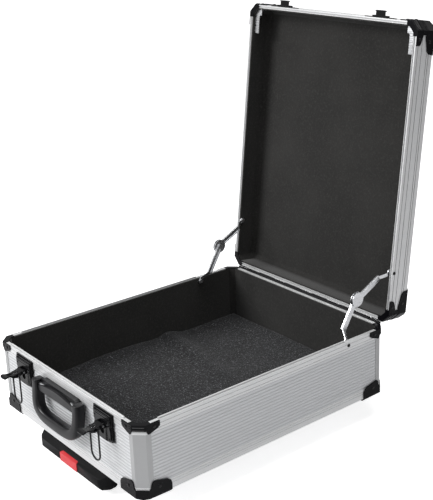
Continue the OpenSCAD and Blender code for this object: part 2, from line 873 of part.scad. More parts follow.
// Front outline of the D-shaped grip, as a closed loop of points
function d_loop(half, high, low, power) = concat([[half, high]],
  [for (i = [0 : 16]) let (a = i * 180 / 16)
    [half * sign(cos(a)) * pow(abs(cos(a)), power), low + (high - 12 - low) * (1 - pow(sin(a), power))]],
  [[-half, high]]);

// The grip is round where it is held and at its pivots, and flatter between
module handle_grip() {
  swell = [handle_out + 3.5, -handle_drop - grip_reach];
  eye_d = 2 * handle_out - 1;
  color(black) handle_at() difference() {
    intersection() {
      rotate([90, 0, 0]) linear_extrude(40) difference() {
        polygon(d_loop(handle_w / 2, -handle_drop + eye_d / 2, grip_low, 0.58));
        polygon(d_loop(arm_in, -handle_drop + 9, grip_low + grip_d, 0.5));
      }
      rotate([90, 0, -90]) linear_extrude(handle_w + 2, center = true) {
        translate([handle_out, -handle_drop]) circle(d = eye_d);
        translate(swell) circle(d = grip_d);
        polygon([[handle_out - eye_d / 2, -handle_drop], [swell[0] - grip_d / 2, swell[1]],
                 [swell[0] + grip_d / 2, swell[1]], [handle_out + eye_d / 2, -handle_drop]]);
      }
    }
    translate([0, -handle_out, -handle_drop]) {
      x_rod(handle_pin_d + 2 * fit, arm_in - cut_over, handle_w);
      x_rod(handle_pin_d + 2 * fit, -handle_w, -arm_in + cut_over);
    }
  }
}

// Telescopic tubes under the case, one inside the other
tube_z = stand_h - tube_drop;
bracket_near = yf + 74;
bracket_far = yr - 66;
tube_near = yf + 34;
tube_far = bracket_far + 26;

// A pair of tubes with a lock hole through their lower walls at each place in holes
module box_tube(w, h, t, y0, y1, holes) {
  for (s = [-1, 1]) translate([s * tube_x, 0, tube_z]) difference() {
    translate([-w / 2, y0, -h / 2]) cube([w, y1 - y0, h]);
    translate([-w / 2 + t, y0 - cut_over, -h / 2 + t])
      cube([w - 2 * t, y1 - y0 + 2 * cut_over, h - 2 * t]);
    for (y = holes) translate([0, y, -h / 2 - cut_over])
      cylinder(d = lock_hole_d, h = t + 2 * cut_over);
  }
}

mid_w = tube_w - 2 * tube_wall - 2 * tube_gap;
mid_h = tube_h - 2 * tube_wall - 2 * tube_gap;
inner_w = mid_w - 2 * tube_wall - 2 * tube_gap;
inner_h = mid_h - 2 * tube_wall - 2 * tube_gap;

// With the trolley out, each stage's hole meets the hole near the front of the
// stage round it
outer_lock = tube_near + 12;
mid_lock = tube_near + 30;

module trolley_outer_tubes() {
  color(alu) box_tube(tube_w, tube_h, tube_wall, tube_near, tube_far, [outer_lock]);
}

module trolley_mid_tubes() {
  color(alu) box_tube(mid_w, mid_h, tube_wall, tube_near - 1, tube_far - 12,
    [mid_lock, outer_lock + mid_travel]);
}

module trolley_inner_tubes() {
  color(alu) box_tube(inner_w, inner_h, tube_wall, split_y, tube_far - 24,
    [mid_lock + inner_travel]);
}

// Clamps that carry the tubes, hung from the underside
module tube_bracket(y0, y1) {
  half = tube_x + tube_w / 2 + 9;
  color(black) difference() {
    union() {
      for (s = [-1, 1]) translate([s * tube_x, 0, 0]) {
        translate([-tube_w / 2 - 6, y0, tube_z - tube_h / 2 - 3])
          cube([tube_w + 12, y1 - y0, tube_drop + tube_h / 2 + 3 + skin_t]);
      }
      translate([-half, y0, stand_h - 5]) cube([2 * half, y1 - y0, 5 + skin_t]);
    }
    for (s = [-1, 1]) translate([s * tube_x - tube_w / 2, tube_near - cut_over, tube_z - tube_h / 2])
      cube([tube_w, tube_far - tube_near + cut_over, tube_h]);
  }
}

module trolley_front_bracket() {
  tube_bracket(bracket_near, bracket_near + 34);
}

module trolley_rear_bracket() {
  tube_bracket(bracket_far, bracket_far + 34);
}

foot_top = tube_z - tube_h / 2 - 3;

module rest_feet() {
  color(black) for (s = [-1, 1], y = [bracket_near + 17, bracket_far + 17])
    translate([s * tube_x, y, 0]) {
      cylinder(d = 22, h = foot_top);
      cylinder(d = 26, h = 2.5);
    }
}

// Trolley grip, a bevelled bar with its back shell plugged by the tubes
pull_front = yf - 1.5;
pull_back = pull_front + pull_d;
pull_low = 9;
split_y = pull_front + pull_d * 0.6;

function pull_profile() = [[pull_front + 3, pull_low], [pull_front, pull_low + 3],
  [pull_front, pull_low + 17], [pull_front + 9, pull_low + pull_h - 2],
  [pull_front + 12, pull_low + pull_h], [pull_back - 3, pull_low + pull_h],
  [pull_back, pull_low + pull_h - 3], [pull_back, pull_low + 3], [pull_back - 3, pull_low]];

// Room for the button behind the grip's front, with rounded upper corners
button_run = 12;
module button_block(extra, depth) {
  half = button_w / 2 + extra;
  top = pull_low + 20 + extra;
  low = pull_low + 3 - extra;
  translate([0, pull_front - 5 + depth, 0]) rotate([90, 0, 0]) linear_extrude(depth)
    polygon(concat([[-half, low], [half, low]],
      [for (a = [0 : 15 : 90]) [half - 4 + 4 * cos(a), top - 4 + 4 * sin(a)]],
      [for (a = [90 : 15 : 180]) [-half + 4 + 4 * cos(a), top - 4 + 4 * sin(a)]]));
}

module pull_bar() {
  half = pull_w / 2;
  intersection() {
    rotate([90, 0, 90]) linear_extrude(pull_w, center = true) polygon(pull_profile());
    translate([0, 0, -cut_over]) linear_extrude(60)
      polygon([[-half, pull_back - 7], [-half, pull_front + 12], [-half + 6, pull_front + 3],
               [-half + 13, pull_front - 1], [half - 13, pull_front - 1], [half - 6, pull_front + 3],
               [half, pull_front + 12], [half, pull_back - 7], [half - 5, pull_back + 1],
               [-half + 5, pull_back + 1]]);
  }
}

module pull_slice(y0, y1) {
  intersection() {
    pull_bar();
    translate([-pull_w, y0, -cut_over]) cube([2 * pull_w, y1 - y0, 80]);
  }
}

module trolley_grip_front() {
  color(black) difference() {
    pull_slice(pull_front - 5, split_y);
    button_block(side_gap, button_run + button_travel + 0.5);
  }
}

module trolley_grip_rear() {
  color(black) difference() {
    pull_slice(split_y, pull_back + 5);
    for (s = [-1, 1]) translate([s * tube_x - inner_w / 2, split_y - 1, tube_z - inner_h / 2])
      cube([inner_w, 20, inner_h]);
  }
}

module trolley_button() {
  color(red) intersection() {
    translate([0, -0.8, 0]) pull_bar();
    button_block(0, button_run);
  }
}

// Wheels behind the underside's rear edge, where the case rolls when tipped
axle_y = yr + 13;
axle_z = stand_h - 11;

module wheel_bracket() {
  half = wheel_w / 2 + 1;
  difference() {
    union() {
      for (s = [-1, 1]) translate([s * (half + 1.5), 0, 0]) rotate([90, 0, 90])
        linear_extrude(3, center = true) {
          polygon([[yr - 36, stand_h], [yr - under_cut, stand_h], [yr, stand_h + under_cut],
                   [yr, stand_h + 34], [yr + 5, stand_h + 34], [axle_y + 8.5, axle_z + 3],
                   [axle_y + 8.5, axle_z], [axle_y, axle_z - 8.5], [yr - 12, stand_h - 15],
                   [yr - 36, stand_h - 5]]);
          translate([axle_y, axle_z]) circle(d = 17);
        }
      translate([-half - 3, yr - 36, stand_h - 3]) cube([2 * half + 6, 22, 3]);
      translate([-half - 3, yr, stand_h + 15]) cube([2 * half + 6, 3, 19]);
    }
    translate([0, axle_y, axle_z]) x_rod(axle_d, -half - 9, half + 9);
  }
}

module wheel_brackets() {
  color(black) for (s = [-1, 1]) translate([s * wheel_x, 0, 0]) wheel_bracket();
}

module wheel_axles() {
  color(zinc) for (s = [-1, 1]) translate([s * wheel_x, axle_y, axle_z]) {
    x_rod(axle_d, -wheel_w / 2 - 4.5, wheel_w / 2 + 4.5);
    x_rod(axle_d + 4, wheel_w / 2 + 4, wheel_w / 2 + 5.5);
    x_rod(axle_d + 4, -wheel_w / 2 - 5.5, -wheel_w / 2 - 4);
  }
}

module wheel_hub(s) {
  rim_d = wheel_d - 10;
  color("silver") translate([s * wheel_x, axle_y, axle_z]) difference() {
    union() {
      x_rod(rim_d, -wheel_w / 2 + 2, wheel_w / 2 - 2);
      x_rod(axle_d + 6, -wheel_w / 2, wheel_w / 2);
    }
    x_rod(axle_d + 2 * fit, -wheel_w, wheel_w);
    for (i = [0 : 4]) rotate([72 * i, 0, 0]) translate([0, 11, 0]) x_rod(6, -wheel_w, wheel_w);
  }
}

module wheel_tyre(s) {
  r = wheel_d / 2;
  half = wheel_w / 2 - 1;
  color(black) translate([s * wheel_x, axle_y, axle_z]) rotate([0, 90, 0])
    rotate_extrude() polygon([[r - 5, -half], [r - 2, -half], [r, -half + 3],
      [r, half - 3], [r - 2, half], [r - 5, half]]);
}

// Feet that the case stands on when it is set upright on its hinge side
module standing_feet() {
  length = axle_y + wheel_d / 2 - yr;
  color(black) for (s = [-1, 1])
    translate([s * wheel_x, yr - rib_h, stand_h + 68]) rotate([-90, 0, 0]) {
      cylinder(d = 32, h = 3);
      translate([0, 0, 3]) cylinder(d1 = 26, d2 = 20, h = length + rib_h - 5);
      translate([0, 0, length + rib_h - 2]) cylinder(d = 20, h = 2);
    }
}

base_front_panel();
base_rear_panel();
base_left_panel();
base_right_panel();
base_floor_panel();
base_edge_profile();
base_rim_profile();
base_corner_posts();
base_rim_caps();
base_bottom_caps();
base_lining();
floor_foam();
base_rivets();
hinge_base_leaf();
hinge_pin();
base_stay_rivets();
latch_plates();
latch_pins();
handle_bracket();
handle_pins();
handle_grip();
trolley_outer_tubes();
trolley_front_bracket();
trolley_rear_bracket();
rest_feet();
standing_feet();
wheel_brackets();
wheel_axles();
wheel_hub(-1);  // wheel_left
wheel_hub(1);  // wheel_right
wheel_tyre(-1);  // tyre_left
wheel_tyre(1);  // tyre_right
lid_frame();
lid_top_panel();
lid_lining();
lid_rim_caps();
lid_top_caps();
lid_corner_clips();
lid_rivets();
latch_keepers();
hinge_lid_leaf();
lid_stay_rivets();
stay_lower(-1);  // stay_lower_left
stay_lower(1);  // stay_lower_right
stay_upper(-1);  // stay_upper_left
stay_upper(1);  // stay_upper_right
latch_lever(-1);  // latch_lever_left
latch_lever(1);  // latch_lever_right
lock_barrel(-1);  // lock_barrel_left
lock_barrel(1);  // lock_barrel_right
latch_bail(-1);  // latch_bail_left
latch_bail(1);  // latch_bail_right
trolley_mid_tubes();
trolley_inner_tubes();
trolley_grip_front();
trolley_grip_rear();
trolley_button();
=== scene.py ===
"""Looks for a laptop hard case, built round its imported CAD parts.

Every length in the classes below is in millimetres, in the frame of the CAD
model: X to the right seen from the latches, Y towards the hinge, Z up.
"""
from __future__ import annotations

import json
import logging
import math
from dataclasses import dataclass
from enum import Enum
from typing import Callable, Iterable, Sequence

import bmesh
import bpy
from mathutils import Matrix, Vector, noise

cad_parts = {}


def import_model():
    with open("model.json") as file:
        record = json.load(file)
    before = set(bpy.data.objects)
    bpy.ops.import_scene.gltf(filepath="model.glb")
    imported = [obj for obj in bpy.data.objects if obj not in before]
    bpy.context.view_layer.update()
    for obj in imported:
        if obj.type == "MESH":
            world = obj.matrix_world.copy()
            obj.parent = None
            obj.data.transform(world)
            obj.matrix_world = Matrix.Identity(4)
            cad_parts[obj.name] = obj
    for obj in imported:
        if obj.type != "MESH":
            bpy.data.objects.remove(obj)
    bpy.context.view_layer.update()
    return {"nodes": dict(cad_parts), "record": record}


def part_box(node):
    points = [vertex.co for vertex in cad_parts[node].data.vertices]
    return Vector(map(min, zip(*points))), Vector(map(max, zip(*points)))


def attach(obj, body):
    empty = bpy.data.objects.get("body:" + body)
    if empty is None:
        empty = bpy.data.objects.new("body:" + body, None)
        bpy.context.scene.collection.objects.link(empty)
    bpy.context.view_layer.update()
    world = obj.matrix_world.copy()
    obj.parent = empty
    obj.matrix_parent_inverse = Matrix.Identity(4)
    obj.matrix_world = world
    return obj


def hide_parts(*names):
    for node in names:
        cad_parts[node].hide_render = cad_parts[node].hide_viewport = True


LOG = logging.getLogger("hard_case")
MM = 0.001
SAME_POINT = 0.002 * MM
FLAT_ANGLE = 0.6
Point = tuple[float, float, float]
Colour = tuple[float, float, float]
Profile = Sequence[tuple[float, float]]
Spot = tuple[Point, Point]
Socket = bpy.types.NodeSocket
BMesh = bmesh.types.BMesh
BMVert = bmesh.types.BMVert


class Side(Enum):
    """The two sides of the case, seen from the latches."""

    LEFT = -1
    RIGHT = 1

    @property
    def word(self) -> str:
        """Word that the side's nodes end with."""
        return self.name.lower()


def add_node(nodes: bpy.types.Nodes, kind: str, **values: object) -> bpy.types.Node:
    """Adds a shader node and sets its inputs.

    Args:
        nodes: Nodes of the tree that it goes into.
        kind: Type of the node, without the prefix that all of them have.
        values: Values of its inputs, with _ for a space in a name.

    Returns:
        The node.
    """
    made = nodes.new("ShaderNode" + kind)
    for key, value in values.items():
        made.inputs[key.replace("_", " ")].default_value = value
    return made


class Graph:
    """Node tree of one material, with the few steps that the finishes share."""

    def __init__(self, name: str) -> None:
        """Starts a material whose only node so far is its shader.

        Args:
            name: Name of the material.
        """
        self.material = bpy.data.materials.new(name)
        self.material.use_nodes = True
        self.nodes = self.material.node_tree.nodes
        self.links = self.material.node_tree.links
        self.shader = self.nodes["Principled BSDF"]
        self.place = add_node(self.nodes, "TexCoord").outputs["Object"]

    def set(self, **values: object) -> None:
        """Sets plain values on the shader, with _ for a space in a socket's name."""
        for key, value in values.items():
            self.shader.inputs[key.replace("_", " ")].default_value = value

    def noise(self, scale: Point, detail: float = 3, rough: float = 0.5) -> Socket:
        """Adds noise fixed to the piece.

        Args:
            scale: Waves per metre along X, Y and Z.
            detail: Octaves of finer noise.
            rough: Strength of each finer octave.

        Returns:
            The noise as a number from 0 to 1.
        """
        spread = add_node(self.nodes, "Mapping", Scale=scale)
        self.links.new(self.place, spread.inputs["Vector"])
        made = add_node(self.nodes, "TexNoise", Scale=1, Detail=detail, Roughness=rough)
        self.links.new(spread.outputs["Vector"], made.inputs["Vector"])
        return made.outputs["Fac"]

    def cells(self, scale: float) -> Socket:
        """Adds a cell pattern fixed to the piece.

        Args:
            scale: Cells per metre.

        Returns:
            The distance from the nearest cell's middle.
        """
        made = add_node(self.nodes, "TexVoronoi", Scale=scale)
        self.links.new(self.place, made.inputs["Vector"])
        return made.outputs["Distance"]

    def spread(self, value: Socket, low: float, high: float,
               start: float = 0.0, end: float = 1.0) -> Socket:
        """Maps a number to a range.

        Args:
            value: The number to map.
            low: What the number gives at its lower limit.
            high: What it gives at its upper limit.
            start: The lower limit.
            end: The upper limit.

        Returns:
            The mapped number, held inside the range.
        """
        made = add_node(self.nodes, "MapRange", From_Min=start, From_Max=end, To_Min=low,
                        To_Max=high)
        self.links.new(value, made.inputs["Value"])
        return made.outputs["Result"]

    def mix(self, factor: Socket, first: Colour | Socket, second: Colour | Socket) -> Socket:
        """Blends two colours.

        Args:
            factor: Share of the second colour, from 0 to 1.
            first: A colour, or a socket that gives one.
            second: A colour, or a socket that gives one.

        Returns:
            The blended colour.
        """
        made = add_node(self.nodes, "Mix")
        made.data_type = "RGBA"
        self.links.new(factor, made.inputs["Factor"])
        for key, colour in (("A", first), ("B", second)):
            sockets = [s for s in made.inputs if s.name == key and s.type == "RGBA"]
            if isinstance(colour, Socket):
                self.links.new(colour, sockets[0])
            else:
                sockets[0].default_value = (*colour, 1)
        return [s for s in made.outputs if s.type == "RGBA"][0]

    def edges(self, radius: float) -> Socket:
        """Finds the sharp edges of the piece.

        Args:
            radius: Reach of an edge, in millimetres.

        Returns:
            A number that is 1 at an edge and 0 away from it.
        """
        rounded = add_node(self.nodes, "Bevel", Radius=radius * MM)
        rounded.samples = 4
        plain = add_node(self.nodes, "NewGeometry")
        product = add_node(self.nodes, "VectorMath")
        product.operation = "DOT_PRODUCT"
        self.links.new(rounded.outputs["Normal"], product.inputs[0])
        self.links.new(plain.outputs["Normal"], product.inputs[1])
        return self.spread(product.outputs["Value"], 1, 0, 0.80, 0.995)

    def hollows(self, radius: float) -> Socket:
        """Finds the grooves and inner corners of the piece.

        Args:
            radius: Width of a groove that counts, in millimetres.

        Returns:
            A number that is 1 deep in a groove and 0 on an open face.
        """
        # ambient occlusion measures how much shade falls in a groove; its mask is used to paint
        # shade
        made = add_node(self.nodes, "AmbientOcclusion", Distance=radius * MM)
        made.samples = 6
        made.only_local = True
        return self.spread(made.outputs["AO"], 1, 0, 0.45, 0.97)

    def lines(self, axis: str, pitch: float, start: float, valley: float) -> Socket:
        """Marks lines that repeat along one axis of the model.

        Args:
            axis: X, Y or Z.
            pitch: Distance from line to line, in millimetres.
            start: Place of one line's middle, in millimetres.
            valley: Share of the pitch that a line takes up.

        Returns:
            A number that is 1 in the middle of a line and 0 between the lines.
        """
        split = add_node(self.nodes, "SeparateXYZ")
        self.links.new(self.place, split.inputs["Vector"])
        last = split.outputs[axis]
        for step, value in (("SUBTRACT", start * MM), ("DIVIDE", pitch * MM), ("ADD", 0.5),
                            ("FRACT", 0.0), ("SUBTRACT", 0.5), ("ABSOLUTE", 0.0)):
            made = add_node(self.nodes, "Math")
            made.operation = step
            self.links.new(last, made.inputs[0])
            made.inputs[1].default_value = value
            last = made.outputs["Value"]
        return self.spread(last, 1, 0, valley * 0.25, valley * 0.6)

    def bump(self, height: Socket, depth: float, strength: float = 1.0) -> None:
        """Adds relief on top of what the shader has.

        Args:
            height: Relief from 0 to 1.
            depth: Height of the relief in millimetres.
            strength: Share of the relief that shows.
        """
        made = add_node(self.nodes, "Bump", Distance=depth * MM, Strength=strength)
        self.links.new(height, made.inputs["Height"])
        normal = self.shader.inputs["Normal"]
        if normal.is_linked:
            self.links.new(normal.links[0].from_socket, made.inputs["Normal"])
        self.links.new(made.outputs["Normal"], normal)

    def colour(self, socket: Socket) -> None:
        """Drives the base colour."""
        self.links.new(socket, self.shader.inputs["Base Color"])

    def rough(self, socket: Socket) -> None:
        """Drives the roughness."""
        self.links.new(socket, self.shader.inputs["Roughness"])


def shade(colour: Colour, factor: float) -> Colour:
    """Makes a colour lighter or darker by a factor."""
    return tuple(min(1.0, c * factor) for c in colour)


@dataclass(frozen=True)
class Finish:
    """A surface finish: its name, its colour and how rough it is."""

    name: str
    tint: Colour
    roughness: float

    def material(self) -> bpy.types.Material:
        """Finds the finish's material, which is made on first use.

        Returns:
            The material.
        """
        known = bpy.data.materials.get(self.name)
        if known:
            return known
        graph = Graph(self.name)
        graph.set(Base_Color=(*self.tint, 1), Roughness=self.roughness)
        self.detail(graph)
        return graph.material

    def detail(self, graph: Graph) -> None:
        """Adds what sets this finish apart.

        Args:
            graph: The material's node tree.
        """


@dataclass(frozen=True)
class Extrusion(Finish):
    """Satin anodised aluminium with fine lines left by the die."""

    lines: Point = (3, 3, 1600)

    def detail(self, graph: Graph) -> None:
        """Adds die lines, blotchy anodising, painted shade in the grooves and bright handled
        edges.

        Args:
            graph: The material's node tree.
        """
        graph.set(Metallic=0.4)
        die = graph.noise(self.lines, 2, 0.6)
        blotch = graph.noise((22, 22, 22), 4)
        tone = graph.mix(blotch, shade(self.tint, 0.94), shade(self.tint, 1.03))
        worn = graph.mix(graph.edges(0.5), tone, shade(self.tint, 1.25))
        # painted shade: ambient occlusion darkens the grooves and inner corners towards 0.55 of
        # the tint
        graph.colour(graph.mix(graph.hollows(1.8), worn, shade(self.tint, 0.55)))
        graph.rough(graph.spread(die, self.roughness - 0.06, self.roughness + 0.08, 0.3, 0.7))
        graph.bump(die, 0.015, 0.25)
        graph.bump(graph.noise((900, 900, 900), 2), 0.01, 0.3)


@dataclass(frozen=True)
class RibbedLaminate(Finish):
    """Silver laminate that covers the boards: half metallic, finely grained.

    The valleys between its ribs lie along one axis of the model, at a pitch and
    from a start in millimetres. A pitch of 0 means that it is smooth.
    """

    axis: str = "Z"
    pitch: float = 0.0
    start: float = 0.0
    valley: float = 0.4

    def detail(self, graph: Graph) -> None:
        """Adds a fine grain, a faint cloudiness and painted shade in the valleys.

        Args:
            graph: The material's node tree.
        """
        graph.set(Metallic=0.3)
        grain = graph.noise((1400, 1400, 1400), 3, 0.6)
        cloud = graph.noise((9, 9, 9), 4)
        tone = graph.mix(cloud, shade(self.tint, 0.965), shade(self.tint, 1.02))
        if self.pitch:
            # painted shade: the valleys between the ribs are darkened to 0.66 of the tint
            dust_and_painted_shade = graph.lines(self.axis, self.pitch, self.start, self.valley)
            tone = graph.mix(graph.spread(dust_and_painted_shade, 0, 0.8), tone, shade(self.tint, 0.66))
        graph.colour(tone)
        graph.rough(graph.spread(cloud, self.roughness - 0.05, self.roughness + 0.07, 0.3, 0.7))
        graph.bump(grain, 0.02, 0.3)


@dataclass(frozen=True)
class Moulding(Finish):
    """Black moulded or lacquered piece, glossy or satin."""

    texture: float = 0.0
    coat: float = 0.0
    shine: float = 0.3
    rubbed: tuple[float, float] = (0.006, 1.5)

    def detail(self, graph: Graph) -> None:
        """Adds mould texture, greasy patches and paler rubbed edges.

        Args:
            graph: The material's node tree.
        """
        graph.set(Coat_Weight=self.coat, Coat_Roughness=0.06, Specular_IOR_Level=self.shine)
        film = graph.noise((35, 35, 35), 5, 0.6)
        tone = graph.mix(film, shade(self.tint, 0.8), shade(self.tint, 1.25))
        least, factor = self.rubbed
        graph.colour(graph.mix(graph.spread(graph.edges(0.6), 0, 0.7), tone,
                               tuple(least + factor * c for c in self.tint)))
        graph.rough(graph.spread(film, self.roughness - 0.05, self.roughness + 0.08, 0.3, 0.7))
        if self.texture:
            graph.bump(graph.cells(1500), self.texture, 0.5)
        graph.bump(graph.noise((160, 160, 160), 2), 0.05, 0.25)


@dataclass(frozen=True)
class Zinc(Finish):
    """Bright zinc plate on pressed steel, with faint blotches and scuffs."""

    def detail(self, graph: Graph) -> None:
        """Adds blotches of the plating bath and short rubbing scuffs.

        Args:
            graph: The material's node tree.
        """
        graph.set(Metallic=1.0)
        blotch = graph.noise((70, 70, 70), 5, 0.65)
        scuff = graph.noise((60, 60, 500), 3)
        graph.colour(graph.mix(graph.spread(blotch, 0, 1, 0.35, 0.65), shade(self.tint, 0.84),
                               self.tint))
        graph.rough(graph.spread(scuff, self.roughness - 0.05, self.roughness + 0.1, 0.35, 0.7))
        graph.bump(scuff, 0.008, 0.2)


@dataclass(frozen=True)
class Pile(Finish):
    """Short-pile lining cloth glued to the boards."""

    def detail(self, graph: Graph) -> None:
        """Adds fibres, brushed patches and the soft glow of the pile.

        Args:
            graph: The material's node tree.
        """
        graph.set(Sheen_Weight=0.25, Sheen_Roughness=0.5, Specular_IOR_Level=0.2)
        fibre = graph.noise((1500, 1500, 1500), 3, 0.75)
        tuft = graph.noise((300, 300, 300), 4, 0.85)
        brushed = graph.noise((11, 11, 11), 4, 0.55)
        tone = graph.mix(graph.spread(brushed, 0, 1, 0.38, 0.64), shade(self.tint, 0.76),
                         shade(self.tint, 1.22))
        flecked = graph.mix(graph.spread(tuft, 0, 1, 0.50, 0.66), tone, shade(self.tint, 2.1))
        graph.colour(graph.mix(graph.spread(fibre, 0, 0.75, 0.52, 0.75), flecked,
                               shade(self.tint, 2.2)))
        graph.bump(tuft, 0.25, 0.5)
        graph.bump(fibre, 0.12, 0.6)


@dataclass(frozen=True)
class OpenFoam(Finish):
    """Dark foam with open cells and pale specks."""

    speck: Colour = (0.25, 0.255, 0.27)

    def detail(self, graph: Graph) -> None:
        """Adds open cells, pale specks and dusty patches.

        Args:
            graph: The material's node tree.
        """
        graph.set(Sheen_Weight=0.1, Sheen_Roughness=0.6, Specular_IOR_Level=0.15)
        cell = graph.cells(430)
        grain = graph.noise((430, 430, 430), 3, 0.8)
        coarse = graph.noise((150, 150, 150), 3, 0.75)
        dust_and_painted_shade = graph.noise((13, 13, 13), 4)
        tone = graph.mix(graph.spread(dust_and_painted_shade, 0, 1, 0.35, 0.7), shade(self.tint, 0.55),
                         shade(self.tint, 1.45))
        pale = graph.mix(graph.spread(coarse, 0, 1, 0.46, 0.66), tone, shade(self.tint, 2.6))
        graph.colour(graph.mix(graph.spread(grain, 0, 1, 0.57, 0.69), pale, self.speck))
        graph.bump(cell, 1.0, 0.7)
        graph.bump(coarse, 0.9, 0.6)


@dataclass(frozen=True)
class Rubber(Finish):
    """Matt rubber with dust and a fine moulded grain."""

    def detail(self, graph: Graph) -> None:
        """Adds grey dust and grain.

        Args:
            graph: The material's node tree.
        """
        graph.set(Specular_IOR_Level=0.3)
        dust = graph.noise((55, 55, 55), 5, 0.65)
        graph.colour(graph.mix(graph.spread(dust, 0, 1, 0.45, 0.8), self.tint,
                               tuple(c + 0.035 for c in self.tint)))
        graph.bump(graph.noise((1100, 1100, 1100), 2), 0.06, 0.5)


ALUMINIUM = Extrusion("aluminium_extrusion", (0.80, 0.805, 0.81), 0.33)
LID_ALUMINIUM = Extrusion("lid_aluminium", (0.78, 0.785, 0.79), 0.33, lines=(3, 1600, 3))
# a darker copy of the profiles' aluminium: painted shade standing in for the darker reflection on
# the corner posts
SHADED_POST = Extrusion("corner_post_aluminium", (0.47, 0.475, 0.48), 0.4)
TUBE = Extrusion("anodised_tube", (0.66, 0.67, 0.68), 0.3, lines=(1500, 2, 1500))
WALL = RibbedLaminate("ribbed_wall_laminate", (0.74, 0.75, 0.765), 0.4, "Z", 4.75, 57.6)
TOP = RibbedLaminate("ribbed_top_laminate", (0.74, 0.75, 0.765), 0.4, "X", 9.5, 4.75, 0.9)
BOARD = RibbedLaminate("smooth_laminate", (0.70, 0.71, 0.725), 0.42)
CORNER = Moulding("corner_moulding", (0.004, 0.004, 0.005), 0.2, texture=0.015, coat=0.12,
                  shine=0.06)
ENAMEL = Moulding("latch_enamel", (0.0035, 0.0035, 0.0042), 0.18, coat=0.3, shine=0.1)
# black hinge: painted shadow, so that the gap between lid and base shows dark
HINGE_SHADOW_BLACK = Moulding("hinge_paint", (0.006, 0.006, 0.0065), 0.5, texture=0.02, shine=0.15)
HANDLE = Moulding("handle_moulding", (0.005, 0.005, 0.0062), 0.33, texture=0.02, coat=0.1,
                  shine=0.26)
GLOSS = Moulding("glossy_ridge", (0.006, 0.006, 0.007), 0.12, coat=1.0, shine=0.6)
GRIP = Moulding("grip_moulding", (0.0045, 0.0045, 0.0052), 0.4, texture=0.04, shine=0.14)
BRACKET = Moulding("bracket_moulding", (0.006, 0.006, 0.006), 0.5, texture=0.06, shine=0.2)
RED = Moulding("button_red", (0.84, 0.004, 0.009), 0.45, texture=0.015, shine=0.02)
NYLON = Moulding("wheel_nylon", (0.10, 0.10, 0.105), 0.45, texture=0.05)
PLATED = Zinc("zinc_plate", (0.78, 0.79, 0.81), 0.26)
POLISHED = Zinc("lock_polish", (0.88, 0.88, 0.90), 0.12)
LINING = Pile("lining_pile", (0.0168, 0.0162, 0.0152), 0.92)
FOAM = OpenFoam("speckled_foam", (0.0078, 0.0080, 0.0088), 0.88)
RUBBER = Rubber("foot_rubber", (0.012, 0.012, 0.012), 0.7)
TREAD = Rubber("tyre_rubber", (0.014, 0.014, 0.0145), 0.62)


NODES: dict[str, bpy.types.Object] = {}
BODIES: dict[str, str] = {}


def dress(node: str, finish: Finish) -> None:
    """Gives a carried-over CAD node its finish.

    Args:
        node: Name of the node.
        finish: The finish to give it.
    """
    for holder in NODES[node].material_slots:
        holder.link = "OBJECT"
        holder.material = finish.material()
    LOG.info("%s: CAD node in %s", node, finish.name)


def piece(name: str, shape: BMesh, body: str, finish: Finish,
          replaces: Iterable[str] = (), angle: float = 35.0) -> bpy.types.Object:
    """Turns mesh code in millimetres into a piece that rides on a body.

    Args:
        name: Name of the piece.
        shape: The mesh, in millimetres in the row frame. It is freed.
        body: CAD body that the piece moves with.
        finish: The finish of the piece.
        replaces: CAD nodes that the piece stands for.
        angle: Edges flatter than this are shaded smooth, in degrees.

    Returns:
        The new object.
    """
    bmesh.ops.scale(shape, vec=(MM, MM, MM), verts=shape.verts)
    bmesh.ops.recalc_face_normals(shape, faces=shape.faces)
    data = bpy.data.meshes.new(name)
    shape.to_mesh(data)
    shape.free()
    return place(name, data, body, finish, replaces, angle)


def place(name: str, data: bpy.types.Mesh, body: str, finish: Finish,
          replaces: Iterable[str], angle: float) -> bpy.types.Object:
    """Puts a finished mesh in the scene as a piece that rides on a body.

    Args:
        name: Name of the piece.
        data: The mesh, in metres in the row frame.
        body: CAD body that the piece moves with.
        finish: The finish of the piece.
        replaces: CAD nodes that the piece stands for.
        angle: Edges flatter than this are shaded smooth, in degrees.

    Returns:
        The new object.
    """
    made = bpy.data.objects.new(name, data)
    bpy.context.scene.collection.objects.link(made)
    data.materials.clear()
    data.materials.append(finish.material())
    data.shade_smooth()
    data.set_sharp_from_angle(angle=math.radians(angle))
    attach(made, body)
    names = list(replaces)
    if names:
        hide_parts(*names)
    LOG.info("%s: %d faces on %s", name, len(data.polygons), body)
    return made


def soften(node: str, finish: Finish, width: float, steps: int = 2, angle: float = 32.0,
           move: Callable[[Vector], Vector] | None = None) -> bpy.types.Object:
    """Replaces a CAD node by the same shape with its sharp edges rounded.

    Args:
        node: Name of the node.
        finish: The finish of the new piece.
        width: Width of the rounding in millimetres.
        steps: Faces across the rounding.
        angle: Edges sharper than this are rounded, in degrees.
        move: Gives each corner's new place, both in millimetres.

    Returns:
        The new object.
    """
    shape = bmesh.new()
    shape.from_mesh(NODES[node].data)
    bmesh.ops.remove_doubles(shape, verts=shape.verts, dist=SAME_POINT)
    if move:
        for vert in shape.verts:
            vert.co = move(vert.co / MM) * MM
    bmesh.ops.dissolve_limit(shape, angle_limit=math.radians(FLAT_ANGLE), verts=shape.verts,
                             edges=shape.edges)
    data = bpy.data.meshes.new(node + "_shell")
    shape.to_mesh(data)
    shape.free()
    made = place(node + "_shell", data, BODIES[node], finish, [node], angle)
    rounding = made.modifiers.new("rounding", "BEVEL")
    rounding.width = width * MM
    rounding.segments = steps
    rounding.limit_method = "ANGLE"
    rounding.angle_limit = math.radians(angle)
    rounding.harden_normals = True
    return made


def ring_loop(shape: BMesh, points: Iterable[Sequence[float]]) -> list[BMVert]:
    """Adds a loop of vertices."""
    return [shape.verts.new(p) for p in points]


